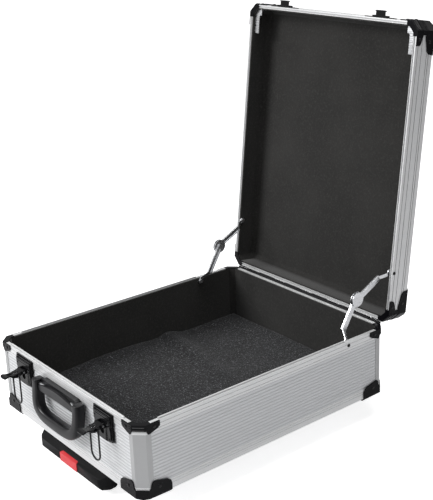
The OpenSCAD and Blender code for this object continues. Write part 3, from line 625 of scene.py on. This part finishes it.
def bridge(shape: BMesh, first: list[BMVert], second: list[BMVert]) -> None:
    """Joins two closed loops with a band of faces.

    Args:
        shape: Mesh to add to.
        first: One loop.
        second: The other, with as many vertices.
    """
    for i, vert in enumerate(first):
        j = (i + 1) % len(first)
        shape.faces.new((vert, first[j], second[j], second[i]))


def lathe(shape: BMesh, profile: Profile, where: Matrix, steps: int = 24) -> None:
    """Turns a profile about the local Z axis and closes both ends.

    Args:
        shape: Mesh to add to.
        profile: Radius and height of each ring, in millimetres.
        where: Place and direction of the axis.
        steps: Faces round the axis.
    """
    last = None
    for index, (radius, height) in enumerate(profile):
        turn = [where @ Vector((radius * math.cos(2 * math.pi * k / steps),
                                radius * math.sin(2 * math.pi * k / steps), height))
                for k in range(steps)]
        loop = ring_loop(shape, turn)
        if last:
            bridge(shape, last, loop)
        if index in (0, len(profile) - 1):
            shape.faces.new(loop)
        last = loop


def facing(at: Point, out: Point) -> Matrix:
    """Place at a point with the local Z axis along a direction."""
    turn = Vector(out).to_track_quat("Z", "Y").to_matrix().to_4x4()
    return Matrix.Translation(at) @ turn


RIVET: Profile = ((2.5, 0.0), (2.5, 0.15), (2.35, 0.55), (1.9, 0.9), (1.2, 1.12), (0.5, 1.2))


def studs(name: str, body: str, finish: Finish, profile: Profile,
          spots: Iterable[Spot], replaces: Iterable[str] = (),
          size: float = 1.0) -> bpy.types.Object:
    """Adds turned heads, such as rivets or screws, as one piece.

    Args:
        name: Name of the piece.
        body: CAD body that it moves with.
        finish: The finish of the heads.
        profile: Radius and height of each ring of one head.
        spots: Where each head sits and which way it faces.
        replaces: CAD nodes that it stands for.
        size: Factor on the profile.

    Returns:
        The new object.
    """
    shape = bmesh.new()
    for at, out in spots:
        lathe(shape, [(r * size, h * size) for r, h in profile], facing(at, out), steps=20)
    return piece(name, shape, body, finish, replaces)


@dataclass(frozen=True)
class CaseSizes:
    """Sizes of the case that its parts share, as the CAD model has them."""

    width: float = 360.0
    depth: float = 440.0
    front: float = -251.0
    rear: float = 189.0
    underside: float = 38.0
    rim: float = 144.0
    lid_rim: float = 144.4
    lid_height: float = 44.0
    wall: float = 7.0
    corner: float = 12.0
    open_angle: float = 97.0
    hinge_y: float = 192.6
    hinge_z: float = 144.2

    @property
    def middle(self) -> float:
        """Y of the middle of the case."""
        return (self.front + self.rear) / 2

    def opened(self) -> Matrix:
        """Turns a point of the shut lid to where it stands open."""
        axis = Matrix.Translation((0, self.hinge_y, self.hinge_z))
        return axis @ Matrix.Rotation(-math.radians(self.open_angle), 4, "X") @ axis.inverted()

    def plan(self, inset: float, per_side: int = 28) -> list[tuple[float, float, Vector]]:
        """Walks round the case's outline, drawn in by a distance.

        Args:
            inset: Distance that the outline is drawn in.
            per_side: Points on each long side.

        Returns:
            X, Y and the inward direction of each point.
        """
        half_w = self.width / 2 - inset
        half_d = self.depth / 2 - inset
        cut = max(1.0, self.corner - inset * (2 - math.sqrt(2)))
        corners = [(-half_w + cut, -half_d), (half_w - cut, -half_d), (half_w, -half_d + cut),
                   (half_w, half_d - cut), (half_w - cut, half_d), (-half_w + cut, half_d),
                   (-half_w, half_d - cut), (-half_w, -half_d + cut)]
        walk = []
        for i, (x0, y0) in enumerate(corners):
            x1, y1 = corners[(i + 1) % 8]
            steps = per_side if i % 2 == 0 else 4
            inward = Vector((-(y1 - y0), x1 - x0, 0)).normalized()
            for k in range(steps):
                t = k / steps
                walk.append((x0 + (x1 - x0) * t, y0 + (y1 - y0) * t + self.middle, inward))
        return walk


CASE = CaseSizes()


@dataclass(frozen=True)
class FullerEdge:
    """Lets the bevel of an outer edge run out later, so that the faces reach further.

    Each pair of knots gives a distance from the face or from the underside, in
    millimetres, and where it moves to.
    """

    way: Matrix
    inward: Profile
    upward: Profile
    low: float = 6.0
    near: float = 0.05

    @staticmethod
    def follow(knots: Profile, value: float) -> float:
        """Follows the knots with straight lines between them.

        Args:
            knots: Pairs of a value and where it moves to.
            value: The value to move.

        Returns:
            Where it moves to, or the value itself outside the knots.
        """
        for (x0, y0), (x1, y1) in zip(knots, knots[1:]):
            if x0 <= value <= x1:
                return y0 + (y1 - y0) * (value - x0) / (x1 - x0)
        return value

    def __call__(self, at: Vector) -> Vector:
        """Moves one corner of the mesh.

        Args:
            at: Place of the corner.

        Returns:
            Its new place.
        """
        local = self.way.inverted() @ at
        x, y = abs(local.x), abs(local.y - CASE.middle)
        sx, sy = math.copysign(1, local.x), math.copysign(1, local.y - CASE.middle)
        root = math.sqrt(0.5)
        faces = [(CASE.width / 2 - x, Vector((1, 0))), (CASE.depth / 2 - y, Vector((0, 1))),
                 ((CASE.width / 2 + CASE.depth / 2 - CASE.corner - x - y) * root,
                  Vector((root, root)))]
        inset = min(d for d, _ in faces)
        push = 0.0
        if local.z < self.low:
            push = inset - self.follow(self.inward, inset)
        normals = [n for d, n in faces if d < inset + self.near]
        if push and len(normals) > 1:
            a, b = normals[0], normals[-1]
            size = a.x * b.y - a.y * b.x
            shift = Vector((b.y - a.y, a.x - b.x)) * push / size
        else:
            shift = normals[0] * push
        local.x += sx * shift.x
        local.y += sy * shift.y
        local.z = self.follow(self.upward, local.z)
        return self.way @ local


BASE_WAY = Matrix.Translation((0, 0, CASE.underside))
LID_WAY = CASE.opened() @ Matrix.Translation(
    (0, 0, CASE.lid_rim + CASE.lid_height)) @ Matrix.Scale(-1, 4, (0, 0, 1))
BASE_EDGE = FullerEdge(BASE_WAY, ((0, 0), (8, 2.5), (20.5, 20.5)), ((0, 0), (8, 2.5), (10, 9.5)))
LID_EDGE = FullerEdge(LID_WAY, ((0, 0), (12, 7), (24.5, 24.5)), ((0, 0), (12, 7), (14.4, 14.2)))


def corner_spots(along: float, z: float, proud: float) -> list[Spot]:
    """Finds the two rivets of a cap at each upright corner.

    Args:
        along: Distance of a rivet from the corner.
        z: Height of the rivets.
        proud: Distance of the cap's face from the case's face.

    Returns:
        Place and direction of each rivet.
    """
    spots = []
    for sx in (-1, 1):
        for sy in (-1, 1):
            x, y = sx * CASE.width / 2, CASE.middle + sy * CASE.depth / 2
            spots.append(((x - sx * along, y + sy * proud, z), (0, sy, 0)))
            spots.append(((x + sx * proud, y - sy * along, z), (sx, 0, 0)))
    return spots


def turned(spots: Iterable[Spot], way: Matrix) -> list[Spot]:
    """Moves places and directions with a matrix."""
    return [(tuple(way @ Vector(at)), tuple(way.to_3x3() @ Vector(out))) for at, out in spots]


@dataclass
class Walls:
    """Boards, profiles and corner posts of the base and the lid."""

    rounding: float = 0.3

    def build(self) -> None:
        """Rounds the profiles and dresses the boards."""
        soften("base_rim_profile", ALUMINIUM, self.rounding)
        soften("base_edge_profile", ALUMINIUM, self.rounding, move=BASE_EDGE)
        soften("lid_frame", LID_ALUMINIUM, self.rounding, move=LID_EDGE)
        # the corner posts take the darker aluminium, painted shade
        soften("base_corner_posts", SHADED_POST, self.rounding)
        for side in ("front", "rear", "left", "right"):
            dress(f"base_{side}_panel", WALL)
        dress("base_floor_panel", BOARD)
        dress("lid_top_panel", TOP)


@dataclass
class Lining:
    """Pile cloth on the inner faces of the base or the lid."""

    name: str
    node: str
    body: str
    depth: float
    edge: float
    way: Matrix
    seed: float = 0.0
    web: float = 1.2
    cloth: float = 2.0
    gap: float = 0.1
    fold: float = 0.5
    bend: float = 1.0
    wall_steps: int = 7
    floor_steps: int = 14
    wave: float = 0.25
    wave_rate: float = 0.02

    def profile(self) -> list[tuple[float, float]]:
        """Walks from the rim down the wall and over the bevel to the floor.

        Returns:
            Inset and height of each ring.
        """
        inset, mitre = CASE.wall, 2 - math.sqrt(2)
        cut = self.edge - inset * mitre
        top, low = self.depth - self.web - self.gap, inset + cut
        rings = [(inset - self.cloth, top), (inset - 0.8 * self.fold, top)]
        rings += [(inset, top - self.fold)]
        rings += [(inset, top - (top - low) * k / self.wall_steps)
                  for k in range(1, self.wall_steps)]
        rings += [(inset + 0.3 * self.bend, low + self.bend), (inset + self.bend, low - self.bend)]
        rings += [(inset + cut / 2, inset + cut / 2)]
        rings += [(low - self.bend, inset + self.bend),
                  (low + 1.2 * self.bend, inset + 0.3 * self.bend)]
        return rings

    def build(self) -> None:
        """Builds the cloth as a thin tray and replaces the CAD lining."""
        shape = bmesh.new()
        last = None
        first = None
        for inset, height in self.profile():
            loop = [self.vertex(shape, x, y, inward, height)
                    for x, y, inward in CASE.plan(inset)]
            if last:
                bridge(shape, last, loop)
            first = first or loop
            last = loop
        floor = self.profile()[-1][0] + 4 * self.bend
        span = min(CASE.width, CASE.depth) / 2 - floor
        for k in range(self.floor_steps):
            inset = floor + span * (k / self.floor_steps) ** 0.9
            loop = [self.vertex(shape, x, y, inward, CASE.wall)
                    for x, y, inward in self.inner_plan(inset)]
            bridge(shape, last, loop)
            last = loop
        shape.faces.new(last)
        outer = [shape.verts.new(v.co) for v in first]
        bottom = CASE.wall - self.cloth
        for vert, (x, y, _) in zip(outer, CASE.plan(bottom)):
            vert.co = self.way @ Vector((x, y, self.edge + self.bend))
        bridge(shape, first, outer)
        under = [shape.verts.new(self.way @ Vector((x, y, bottom)))
                 for x, y, _ in CASE.plan(self.edge + self.cloth)]
        bridge(shape, outer, under)
        shape.faces.new(under)
        piece(self.name, shape, self.body, LINING, [self.node], angle=15)

    def inner_plan(self, inset: float) -> list[tuple[float, float, Vector]]:
        """Draws a ring of the floor, which keeps its corners as it shrinks.

        Args:
            inset: Distance of the ring from the case's outline.

        Returns:
            X, Y and the inward direction of each point.
        """
        edge = self.profile()[-1][0]
        outline = CASE.plan(edge)
        half_w, half_d = CASE.width / 2 - edge, CASE.depth / 2 - edge
        fx = (CASE.width / 2 - inset) / half_w
        fy = (CASE.depth / 2 - inset) / half_d
        return [(x * fx, CASE.middle + (y - CASE.middle) * fy, n) for x, y, n in outline]

    def vertex(self, shape: BMesh, x: float, y: float, inward: Vector, height: float) -> BMVert:
        """Adds one vertex, moved a little as cloth glued by hand lies.

        Args:
            shape: Mesh to add to.
            x: Place across the case.
            y: Place along the case.
            inward: Direction into the case.
            height: Height above the underside or below the lid's top.

        Returns:
            The vertex.
        """
        at = Vector((x, y, height))
        lift = self.wave * (1 + noise.noise(at * self.wave_rate + Vector((self.seed, 0, 0))))
        if height < self.depth - self.web - self.cloth:
            at += (inward if height > CASE.wall + 1 else Vector((0, 0, 1))) * lift
        return shape.verts.new(self.way @ at)


@dataclass
class FloorFoam:
    """Loose foam pad on the floor, a little too large, so that it lies in waves."""

    low: float = 45.3
    thick: float = 20.0
    inset: float = 7.6
    cut: float = 7.0
    edge: float = 3.0
    pull: float = 0.985
    crowding: float = 0.045
    sag: float = 4.0
    swell: float = 3.2
    swell_run: Point = (2.1, 0.9, 1.4)
    hump: float = 7.5
    hump_run: Point = (0.66, 0.10, 0.04)
    hump_fade: float = 1.3
    curl: float = 5.0
    curl_span: float = 0.05
    curl_run: float = 1.15
    dents: float = 1.3
    dent_rate: float = 0.018
    columns: int = 64
    rows: int = 80

    def top(self, x: float, y: float) -> float:
        """Height of the pad's upper face at a point.

        Args:
            x: Place across the case.
            y: Place along the case.

        Returns:
            The height in millimetres.
        """
        u = (x + CASE.width / 2) / CASE.width
        v = (y - CASE.front) / CASE.depth
        waves, lead, slant = self.swell_run
        swell = math.sin(waves * math.pi * v - lead - slant * u) * math.sin(math.pi * v) ** 0.5
        crest, skew, span = self.hump_run
        hump = math.exp(-((v - crest + skew * u) / span) ** 2) * max(0.0, 1 - self.hump_fade * u)
        curl = math.exp(-u / self.curl_span)
        curl *= math.sin(math.pi * min(1.0, v * self.curl_run)) ** 2
        dents = noise.noise(Vector((x * self.dent_rate, y * self.dent_rate, 4.2)))
        return (self.low + self.thick - self.sag + self.swell * swell + self.hump * hump
                + self.curl * curl + self.dents * dents)

    def build(self) -> None:
        """Builds the pad with rounded edges and replaces the CAD slab."""
        shape = bmesh.new()
        half_w = CASE.width / 2 - self.inset
        half_d = CASE.depth / 2 - self.inset

        def limit(y: float) -> float:
            """Half width of the pad at a place along it."""
            return half_w - max(0.0, self.cut - (half_d - abs(y - CASE.middle)))

        grid = []
        for j in range(self.rows + 1):
            y = CASE.middle - half_d + 2 * half_d * self.spaced(j / self.rows)
            row = []
            for i in range(self.columns + 1):
                x = limit(y) * (2 * self.spaced(i / self.columns) - 1)
                near = min(limit(y) - abs(x), half_d - abs(y - CASE.middle))
                drop = self.edge * max(0.0, 1 - near / self.edge) ** 2
                row.append(shape.verts.new((x, y, self.top(x, y) - drop)))
            grid.append(row)
        for j in range(self.rows):
            for i in range(self.columns):
                shape.faces.new((grid[j][i], grid[j][i + 1], grid[j + 1][i + 1], grid[j + 1][i]))
        border = (grid[0] + [r[-1] for r in grid[1:]] + grid[-1][-2::-1]
                  + [r[0] for r in grid[-2:0:-1]])
        foot = ring_loop(shape, [
            (v.co.x * self.pull, CASE.middle + (v.co.y - CASE.middle) * self.pull, self.low)
            for v in border])
        bridge(shape, border, foot)
        shape.faces.new(foot)
        made = piece("floor_foam_pad", shape, "base", FOAM, ["floor_foam"], angle=60)

    def spaced(self, t: float) -> float:
        """Crowds the grid towards the edges of the pad."""
        return t - self.crowding * math.sin(2 * math.pi * t)


@dataclass
class CornerCaps:
    """Black caps on the corners of the base and the lid, with their rivets."""

    proud: float = 1.6
    outer_along: float = 27.0
    rim_along: float = 24.0
    above_underside: float = 15.0
    below_top: float = 17.0
    off_rim: float = 5.5
    ridge_rows: tuple[float, float] = (3.2, 7.4)
    ridge: Profile = ((-0.2, -1.1), (0.75, -0.3), (0.75, 0.3), (-0.2, 1.1))

    def build(self) -> None:
        """Rounds the caps and sets the rivets and the ridges."""
        soften("base_rim_caps", CORNER, width=0.5, steps=3)
        soften("lid_rim_caps", CORNER, width=0.5, steps=3)
        soften("base_bottom_caps", CORNER, width=0.7, steps=3, move=BASE_EDGE)
        soften("lid_top_caps", CORNER, width=0.45, steps=3, move=LID_EDGE)
        top = CASE.lid_rim + CASE.lid_height
        base = corner_spots(self.outer_along, CASE.underside + self.above_underside, self.proud)
        base += corner_spots(self.rim_along, CASE.rim - self.off_rim, self.proud)
        studs("base_cap_rivets", "base", ENAMEL, RIVET, base, ["base_rivets"])
        lid = corner_spots(self.outer_along, top - self.below_top, self.proud)
        lid += corner_spots(self.rim_along, CASE.lid_rim + self.off_rim, self.proud)
        studs("lid_cap_rivets", "lid", ENAMEL, RIVET, turned(lid, CASE.opened()),
              ["lid_rivets"])
        self.ridges("base", CASE.rim, -1, Matrix())
        self.ridges("lid", CASE.lid_rim, 1, CASE.opened())

    def ridges(self, body: str, rim: float, down: int, way: Matrix) -> None:
        """Adds two bars across the cut face of each rim cap.

        Args:
            body: CAD body that the caps belong to.
            rim: Height of the rim.
            down: Direction from the rim into the wall, 1 or -1.
            way: Where the body's shut place has gone.
        """
        shape = bmesh.new()
        face = (CASE.width + CASE.depth) / 2 - CASE.corner + self.proud * math.sqrt(2)
        lean = (CASE.width - CASE.depth) / 2
        half = CASE.corner * math.sqrt(0.5) - 1.0
        for sx in (-1, 1):
            for sy in (-1, 1):
                out = Vector((sx, sy, 0)).normalized()
                side = Vector((-sy, sx, 0)).normalized()
                mid = (out * face - side * sx * sy * lean) * math.sqrt(0.5)
                for row in self.ridge_rows:
                    at = mid + Vector((0, CASE.middle, rim + down * row))
                    loops = [ring_loop(shape, [way @ (at + side * t + out * d + Vector((0, 0, h)))
                                               for d, h in self.ridge]) for t in (-half, half)]
                    bridge(shape, *loops)
                    for loop in loops:
                        shape.faces.new(loop)
        piece(body + "_cap_ridges", shape, body, GLOSS, angle=20)


@dataclass
class Hinge:
    """Piano hinge on the rear faces."""

    reach: float = 132.0
    spacing: float = 33.0
    leaf: float = 1.2
    base_row: float = 12.0
    lid_row: float = 13.0
    head_size: float = 0.7
    end: float = 144.2
    sleeve: Profile = ((1.0, 0.0), (1.9, 0.1), (1.9, 21.4), (1.4, 21.8), (0.4, 21.8))

    def build(self) -> None:
        """Dresses the leaves and pin and adds the leaves' rivets."""
        # the leaves are black as painted shadow in the gap between lid and base
        soften("hinge_base_leaf", HINGE_SHADOW_BLACK, width=0.2)
        soften("hinge_lid_leaf", HINGE_SHADOW_BLACK, width=0.2)
        dress("hinge_pin", PLATED)
        count = int(2 * self.reach / self.spacing)
        for body, height, way in (("base", CASE.rim - self.base_row, Matrix()),
                                  ("lid", CASE.lid_rim + self.lid_row, CASE.opened())):
            row = [((k * self.spacing - self.reach, CASE.rear + self.leaf, height), (0, 1, 0))
                   for k in range(count + 1)]
            studs(f"hinge_{body}_rivets", body, PLATED, RIVET, turned(row, way),
                  size=self.head_size)
        ends = [((s * self.end, CASE.hinge_y, CASE.hinge_z), (s, 0, 0)) for s in (-1, 1)]
        # the end sleeves fill the ends of the gap with the same black, painted shadow
        studs("hinge_end_sleeves", "base", HINGE_SHADOW_BLACK, self.sleeve, ends)


@dataclass
class LidFittings:
    """Clips inside the lid's front corners and the catches on its front."""

    def build(self) -> None:
        """Rounds the clips and the catches."""
        soften("lid_corner_clips", PLATED, width=0.25)
        soften("latch_keepers", ENAMEL, width=0.4)


@dataclass
class Stays:
    """Folding stays that hold the lid open, and the rivets of their outer ends."""

    along: float = 112.6
    in_base: float = 137.6
    in_lid: float = 148.4
    head: Profile = ((2.7, 0.0), (2.7, 0.3), (2.4, 0.9), (1.6, 1.3), (0.6, 1.4))
    shank: Profile = ((2.5, 0.0), (2.5, 9.3), (4.0, 9.3), (4.0, 10.0), (3.4, 10.6), (0.8, 10.7))

    def build(self) -> None:
        """Rounds the arms and turns the rivets."""
        for side in Side:
            soften("stay_lower_" + side.word, PLATED, width=0.3)
            soften("stay_upper_" + side.word, PLATED, width=0.3)
        for body, height, way in (("base", self.in_base, Matrix()),
                                  ("lid", self.in_lid, CASE.opened())):
            outer = [((s * CASE.width / 2, self.along, height), (s, 0, 0)) for s in (-1, 1)]
            inner = [(at, (-out[0], 0, 0)) for at, out in outer]
            studs(body + "_stay_rivet_shanks", body, PLATED, self.shank,
                  turned(inner, way), [body + "_stay_rivets"])
            studs(body + "_stay_rivet_heads", body, ENAMEL, self.head,
                  turned(outer, way))


@dataclass
class Latches:
    """Draw latches: plate, lever, lock and wire bail."""

    across: float = 104.0
    rivet_out: float = 16.2
    rivet_down: tuple[float, float] = (15.0, 39.0)
    rivet_size: float = 0.62
    plate: float = 4.5
    droop: float = 14.0
    pivot: tuple[float, float] = (-258.5, 121.6)
    length: float = 32.0
    flat: float = 14.0
    lift: float = 8.5
    lift_curve: float = 1.3
    flare: float = 0.25
    draw_in: float = 2.2
    cover: Profile = ((3.3, -0.5), (3.35, 0.0), (3.2, 0.3), (2.6, 0.42), (2.3, 0.2), (0.4, 0.2))

    def build(self) -> None:
        """Rounds the pressed pieces, dresses the rest and adds the plates' rivets."""
        soften("latch_plates", ENAMEL, width=0.4, steps=3)
        dress("latch_pins", PLATED)
        heads = []
        for side in Side:
            soften("latch_lever_" + side.word, ENAMEL, width=0.3, steps=3, move=self.raised)
            soften("lock_barrel_" + side.word, POLISHED, width=0.25)
            dress("latch_bail_" + side.word, ENAMEL)
            self.lock_cover(side)
            heads += [((side.value * self.across + s * self.rivet_out,
                        CASE.front - self.plate, CASE.rim - down), (0, -1, 0))
                      for s in (-1, 1) for down in self.rivet_down]
        studs("latch_plate_rivets", "base", ENAMEL, RIVET, heads, size=self.rivet_size)

    def raised(self, at: Vector) -> Vector:
        """Lifts and widens a lever towards its tip, where a finger goes under it.

        Args:
            at: Place of a corner of the mesh.

        Returns:
            Its new place.
        """
        turn = Matrix.Rotation(math.radians(self.droop), 4, "X")
        hinge = Vector((math.copysign(self.across, at.x), *self.pivot))
        local = turn.inverted() @ (at - hinge)
        share = max(0.0, -local.y - self.flat) / (self.length - self.flat)
        local.z += self.lift * share ** self.lift_curve
        local.y += self.draw_in * share
        local.x *= 1 + self.flare * share
        return turn @ local + hinge

    def lock_cover(self, side: Side) -> None:
        """Adds the black cover with a key slot on top of a lock barrel.

        Args:
            side: The latch's side.
        """
        low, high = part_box("lock_barrel_" + side.word)
        barrel = "lock_barrel_" + side.word
        out = Matrix.Rotation(math.radians(self.droop), 4, "X") @ Vector((0, 0, 1))
        middle = (Vector(low) + Vector(high)) / 2 / MM
        reach = max((vert.co / MM - middle).dot(out) for vert in NODES[barrel].data.vertices)
        studs("lock_cover_" + side.word, BODIES[barrel], ENAMEL, self.cover,
              [(tuple(middle + out * reach), tuple(out))])


@dataclass
class CarryHandle:
    """Carry handle: bracket and swinging grip."""

    pivot: Point = (0.0, -259.5, 123.0)
    half: float = 53.6
    reach: float = 43.8
    swell: float = 3.8
    square: float = 0.54
    straight: float = 5.0
    tops: Sequence[float] = (7.4, 6.8, 5.0, 0.0)
    shrink: Sequence[float] = (0.72, 0.90, 1.0)
    eye: tuple[float, float] = (12.4, 15.4)
    bar: tuple[float, float] = (17.0, 15.6)
    boxy: float = 4.4
    rounder: float = 1.2
    stations: int = 56
    around: int = 24

    def build(self) -> None:
        """Rounds the bracket and builds the grip."""
        soften("handle_bracket", HANDLE, width=0.8, steps=3)
        dress("handle_pins", PLATED)
        self.grip()

    def path(self) -> list[tuple[float, float]]:
        """Draws the grip's centre line, from one eye round to the other.

        Returns:
            X and Z of each station.
        """
        top = [(-self.half, z) for z in self.tops]
        bend = []
        for k in range(self.stations + 1):
            a = math.pi * k / self.stations
            c, d = math.cos(a), math.sin(a)
            bend.append((-self.half * math.copysign(abs(c) ** self.square, c),
                         -self.straight - (self.reach - self.straight) * d ** self.square))
        return top + bend + [(-x, z) for x, z in reversed(top)]

    def grip(self) -> None:
        """Sweeps the grip along its path, boxy at the eyes and round where it is held."""
        shape = bmesh.new()
        path = self.path()
        end = len(path) - 1
        last = None
        for i, (x, z) in enumerate(path):
            (x0, z0), (x1, z1) = path[max(0, i - 1)], path[min(end, i + 1)]
            along = Vector((x1 - x0, 0, z1 - z0)).normalized()
            across = Vector((along.z, 0, -along.x))
            share = min(1.0, max(0.0, -z / self.reach))
            blend = share * share * (3 - 2 * share)
            size = self.shrink[min(i, end - i, len(self.shrink) - 1)]
            width, depth = (size * (e + (b - e) * blend) for e, b in zip(self.eye, self.bar))
            power = 2 / (self.boxy - self.rounder * blend)
            centre = Vector(self.pivot) + Vector((x, -self.swell * blend, z))
            loop = []
            for k in range(self.around):
                a = 2 * math.pi * k / self.around
                u = math.copysign(abs(math.cos(a)) ** power, math.cos(a)) * width / 2
                v = math.copysign(abs(math.sin(a)) ** power, math.sin(a)) * depth / 2
                loop.append(centre + across * u + Vector((0, v, 0)))
            made = ring_loop(shape, loop)
            if last:
                bridge(shape, last, made)
            if i in (0, end):
                shape.faces.new(made)
            last = made
        grip = piece("carry_grip", shape, "handle", HANDLE, ["handle_grip"],
                     angle=60)
        finer = grip.modifiers.new("finer", "SUBSURF")
        finer.levels = finer.render_levels = 1


@dataclass
class Trolley:
    """Telescopic trolley under the case, with its grip and release button."""

    shoulder: float = 22.5
    slope: float = 0.55

    def lower(self, at: Vector) -> Vector:
        """Flattens the grip above its shoulder.

        Args:
            at: Place of a corner of the mesh.

        Returns:
            Its new place.
        """
        if at.z > self.shoulder:
            at.z = self.shoulder + (at.z - self.shoulder) * self.slope
        return at

    def build(self) -> None:
        """Rounds the tubes and the mouldings."""
        for node in ("trolley_outer_tubes", "trolley_mid_tubes", "trolley_inner_tubes"):
            soften(node, TUBE, width=0.6)
        for node in ("trolley_front_bracket", "trolley_rear_bracket"):
            soften(node, BRACKET, width=0.8)
        for node in ("trolley_grip_front", "trolley_grip_rear"):
            soften(node, GRIP, width=1.2, steps=3, move=self.lower)
        soften("trolley_button", RED, width=0.7, steps=3, move=self.lower)
        soften("rest_feet", RUBBER, width=0.8)


@dataclass
class Wheels:
    """Wheels, their brackets and the feet that the case stands on upright."""

    def build(self) -> None:
        """Rounds the pieces and dresses the axles."""
        soften("standing_feet", RUBBER, width=0.8, steps=3)
        soften("wheel_brackets", BRACKET, width=0.7)
        dress("wheel_axles", PLATED)
        for side in Side:
            soften("wheel_" + side.word, NYLON, width=0.5)
            soften("tyre_" + side.word, TREAD, width=0.6)


@dataclass
class Studio:
    """Camera at the photograph's angle, pale floor and soft lights.

    Each lamp has its name, its place, its diameter and its power in watts.
    """

    eye: Point = (1136.18, -844.83, 771.11)
    ahead: Point = (-0.724298, 0.615686, -0.310358)
    upward: Point = (-0.221014, 0.219055, 0.950351)
    lens: float = 74.09
    shift: tuple[float, float] = (-0.105, -0.061)
    world_level: float = 0.225
    mirror_level: float = 0.52
    near_glow: float = 0.78
    glow_reach: tuple[float, float] = (300, 1100)
    floor_tint: Colour = (0.86, 0.86, 0.87)
    floor_size: float = 40000
    floor_drop: float = 0.2
    lamps: Sequence[tuple[str, Point, float, float]] = (
        ("key", (-1200, -2100, 1700), 1500, 62),
        ("fill", (2300, -700, 1300), 1500, 4),
        ("top", (300, 300, 2500), 1400, 28),
    )
    target: Point = (0, 0, 180)

    def build(self) -> None:
        """Builds the camera, the floor, the world and the lamps."""
        self.camera()
        self.floor()
        self.world()
        for lamp in self.lamps:
            self.lamp(*lamp)
        bpy.context.scene.view_settings.view_transform = "Standard"

    def camera(self) -> None:
        """Sets the camera from its place and directions."""
        data = bpy.data.cameras.new("camera")
        data.lens = self.lens
        data.sensor_width = 36
        data.shift_x, data.shift_y = self.shift
        data.clip_start, data.clip_end = 0.05, 60
        made = bpy.data.objects.new("camera", data)
        bpy.context.scene.collection.objects.link(made)
        back = -Vector(self.ahead).normalized()
        right = Vector(self.upward).cross(back).normalized()
        up = back.cross(right)
        turn = Matrix((right, up, back)).transposed().to_4x4()
        made.matrix_world = Matrix.Translation(Vector(self.eye) * MM) @ turn
        bpy.context.scene.camera = made

    def floor(self) -> None:
        """Lays the pale floor, which shows white but keeps the shadow."""
        bpy.ops.mesh.primitive_plane_add(size=self.floor_size * MM,
                                         location=(0, 0, -self.floor_drop * MM))
        made = bpy.context.object
        made.name = "floor"
        graph = Graph("pale_floor")
        graph.set(Base_Color=(*self.floor_tint, 1), Roughness=0.9, Specular_IOR_Level=0.1,
                  Emission_Color=(1, 1, 1, 1))
        away = add_node(graph.nodes, "VectorMath")
        away.operation = "LENGTH"
        graph.links.new(graph.place, away.inputs[0])
        path = add_node(graph.nodes, "LightPath")
        glow = add_node(graph.nodes, "Math")
        glow.operation = "MULTIPLY"
        start, end = (distance * MM for distance in self.glow_reach)
        graph.links.new(graph.spread(away.outputs["Value"], self.near_glow, 1.0, start, end),
                        glow.inputs[0])
        graph.links.new(path.outputs["Is Camera Ray"], glow.inputs[1])
        graph.links.new(glow.outputs["Value"], graph.shader.inputs["Emission Strength"])
        made.data.materials.append(graph.material)

    def world(self) -> None:
        """Makes an even pale world that the camera sees as white."""
        made = bpy.data.worlds.new("studio")
        bpy.context.scene.world = made
        made.use_nodes = True
        nodes, links = made.node_tree.nodes, made.node_tree.links
        sky = nodes["Background"]
        sky.inputs["Color"].default_value = (1, 1, 1, 1)
        path = add_node(nodes, "LightPath")
        mirrored = add_node(nodes, "MapRange", To_Min=self.world_level, To_Max=self.mirror_level)
        links.new(path.outputs["Is Glossy Ray"], mirrored.inputs["Value"])
        seen = add_node(nodes, "MapRange", To_Max=1.0)
        links.new(path.outputs["Is Camera Ray"], seen.inputs["Value"])
        links.new(mirrored.outputs["Result"], seen.inputs["To Min"])
        links.new(seen.outputs["Result"], sky.inputs["Strength"])

    def lamp(self, name: str, at: Point, size: float, power: float) -> None:
        """Adds a large soft lamp that faces the case.

        Args:
            name: Name of the lamp.
            at: Its place.
            size: Its diameter.
            power: Its power in watts.
        """
        data = bpy.data.lights.new(name, "AREA")
        data.shape = "DISK"
        data.size = size * MM
        data.energy = power
        made = bpy.data.objects.new(name, data)
        bpy.context.scene.collection.objects.link(made)
        made.location = Vector(at) * MM
        aim = Vector(self.target) * MM - made.location
        made.rotation_euler = aim.to_track_quat("-Z", "Y").to_euler()


def main() -> None:
    """Builds the studio and the case's sub-assemblies in order."""
    logging.basicConfig(level=logging.INFO, format="%(name)s: %(message)s")
    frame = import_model()
    NODES.update(frame["nodes"])
    record = frame["record"]
    for body, nodes in record["behaviour"]["bodies"].items():
        BODIES.update({node: body for node in nodes})
    parts = [
        Studio(), Walls(),
        Lining("base_lining_cloth", "base_lining", "base", depth=CASE.rim - CASE.underside,
               edge=8.0, way=BASE_WAY),
        Lining("lid_lining_cloth", "lid_lining", "lid", depth=CASE.lid_height, edge=12.0,
               way=LID_WAY, seed=7.0),
        FloorFoam(), CornerCaps(), Hinge(), LidFittings(), Stays(), Latches(), CarryHandle(),
        Trolley(), Wheels(),
    ]
    for part in parts:
        part.build()
        LOG.info("%s built", type(part).__name__)


if __name__ == "__main__":
    main()
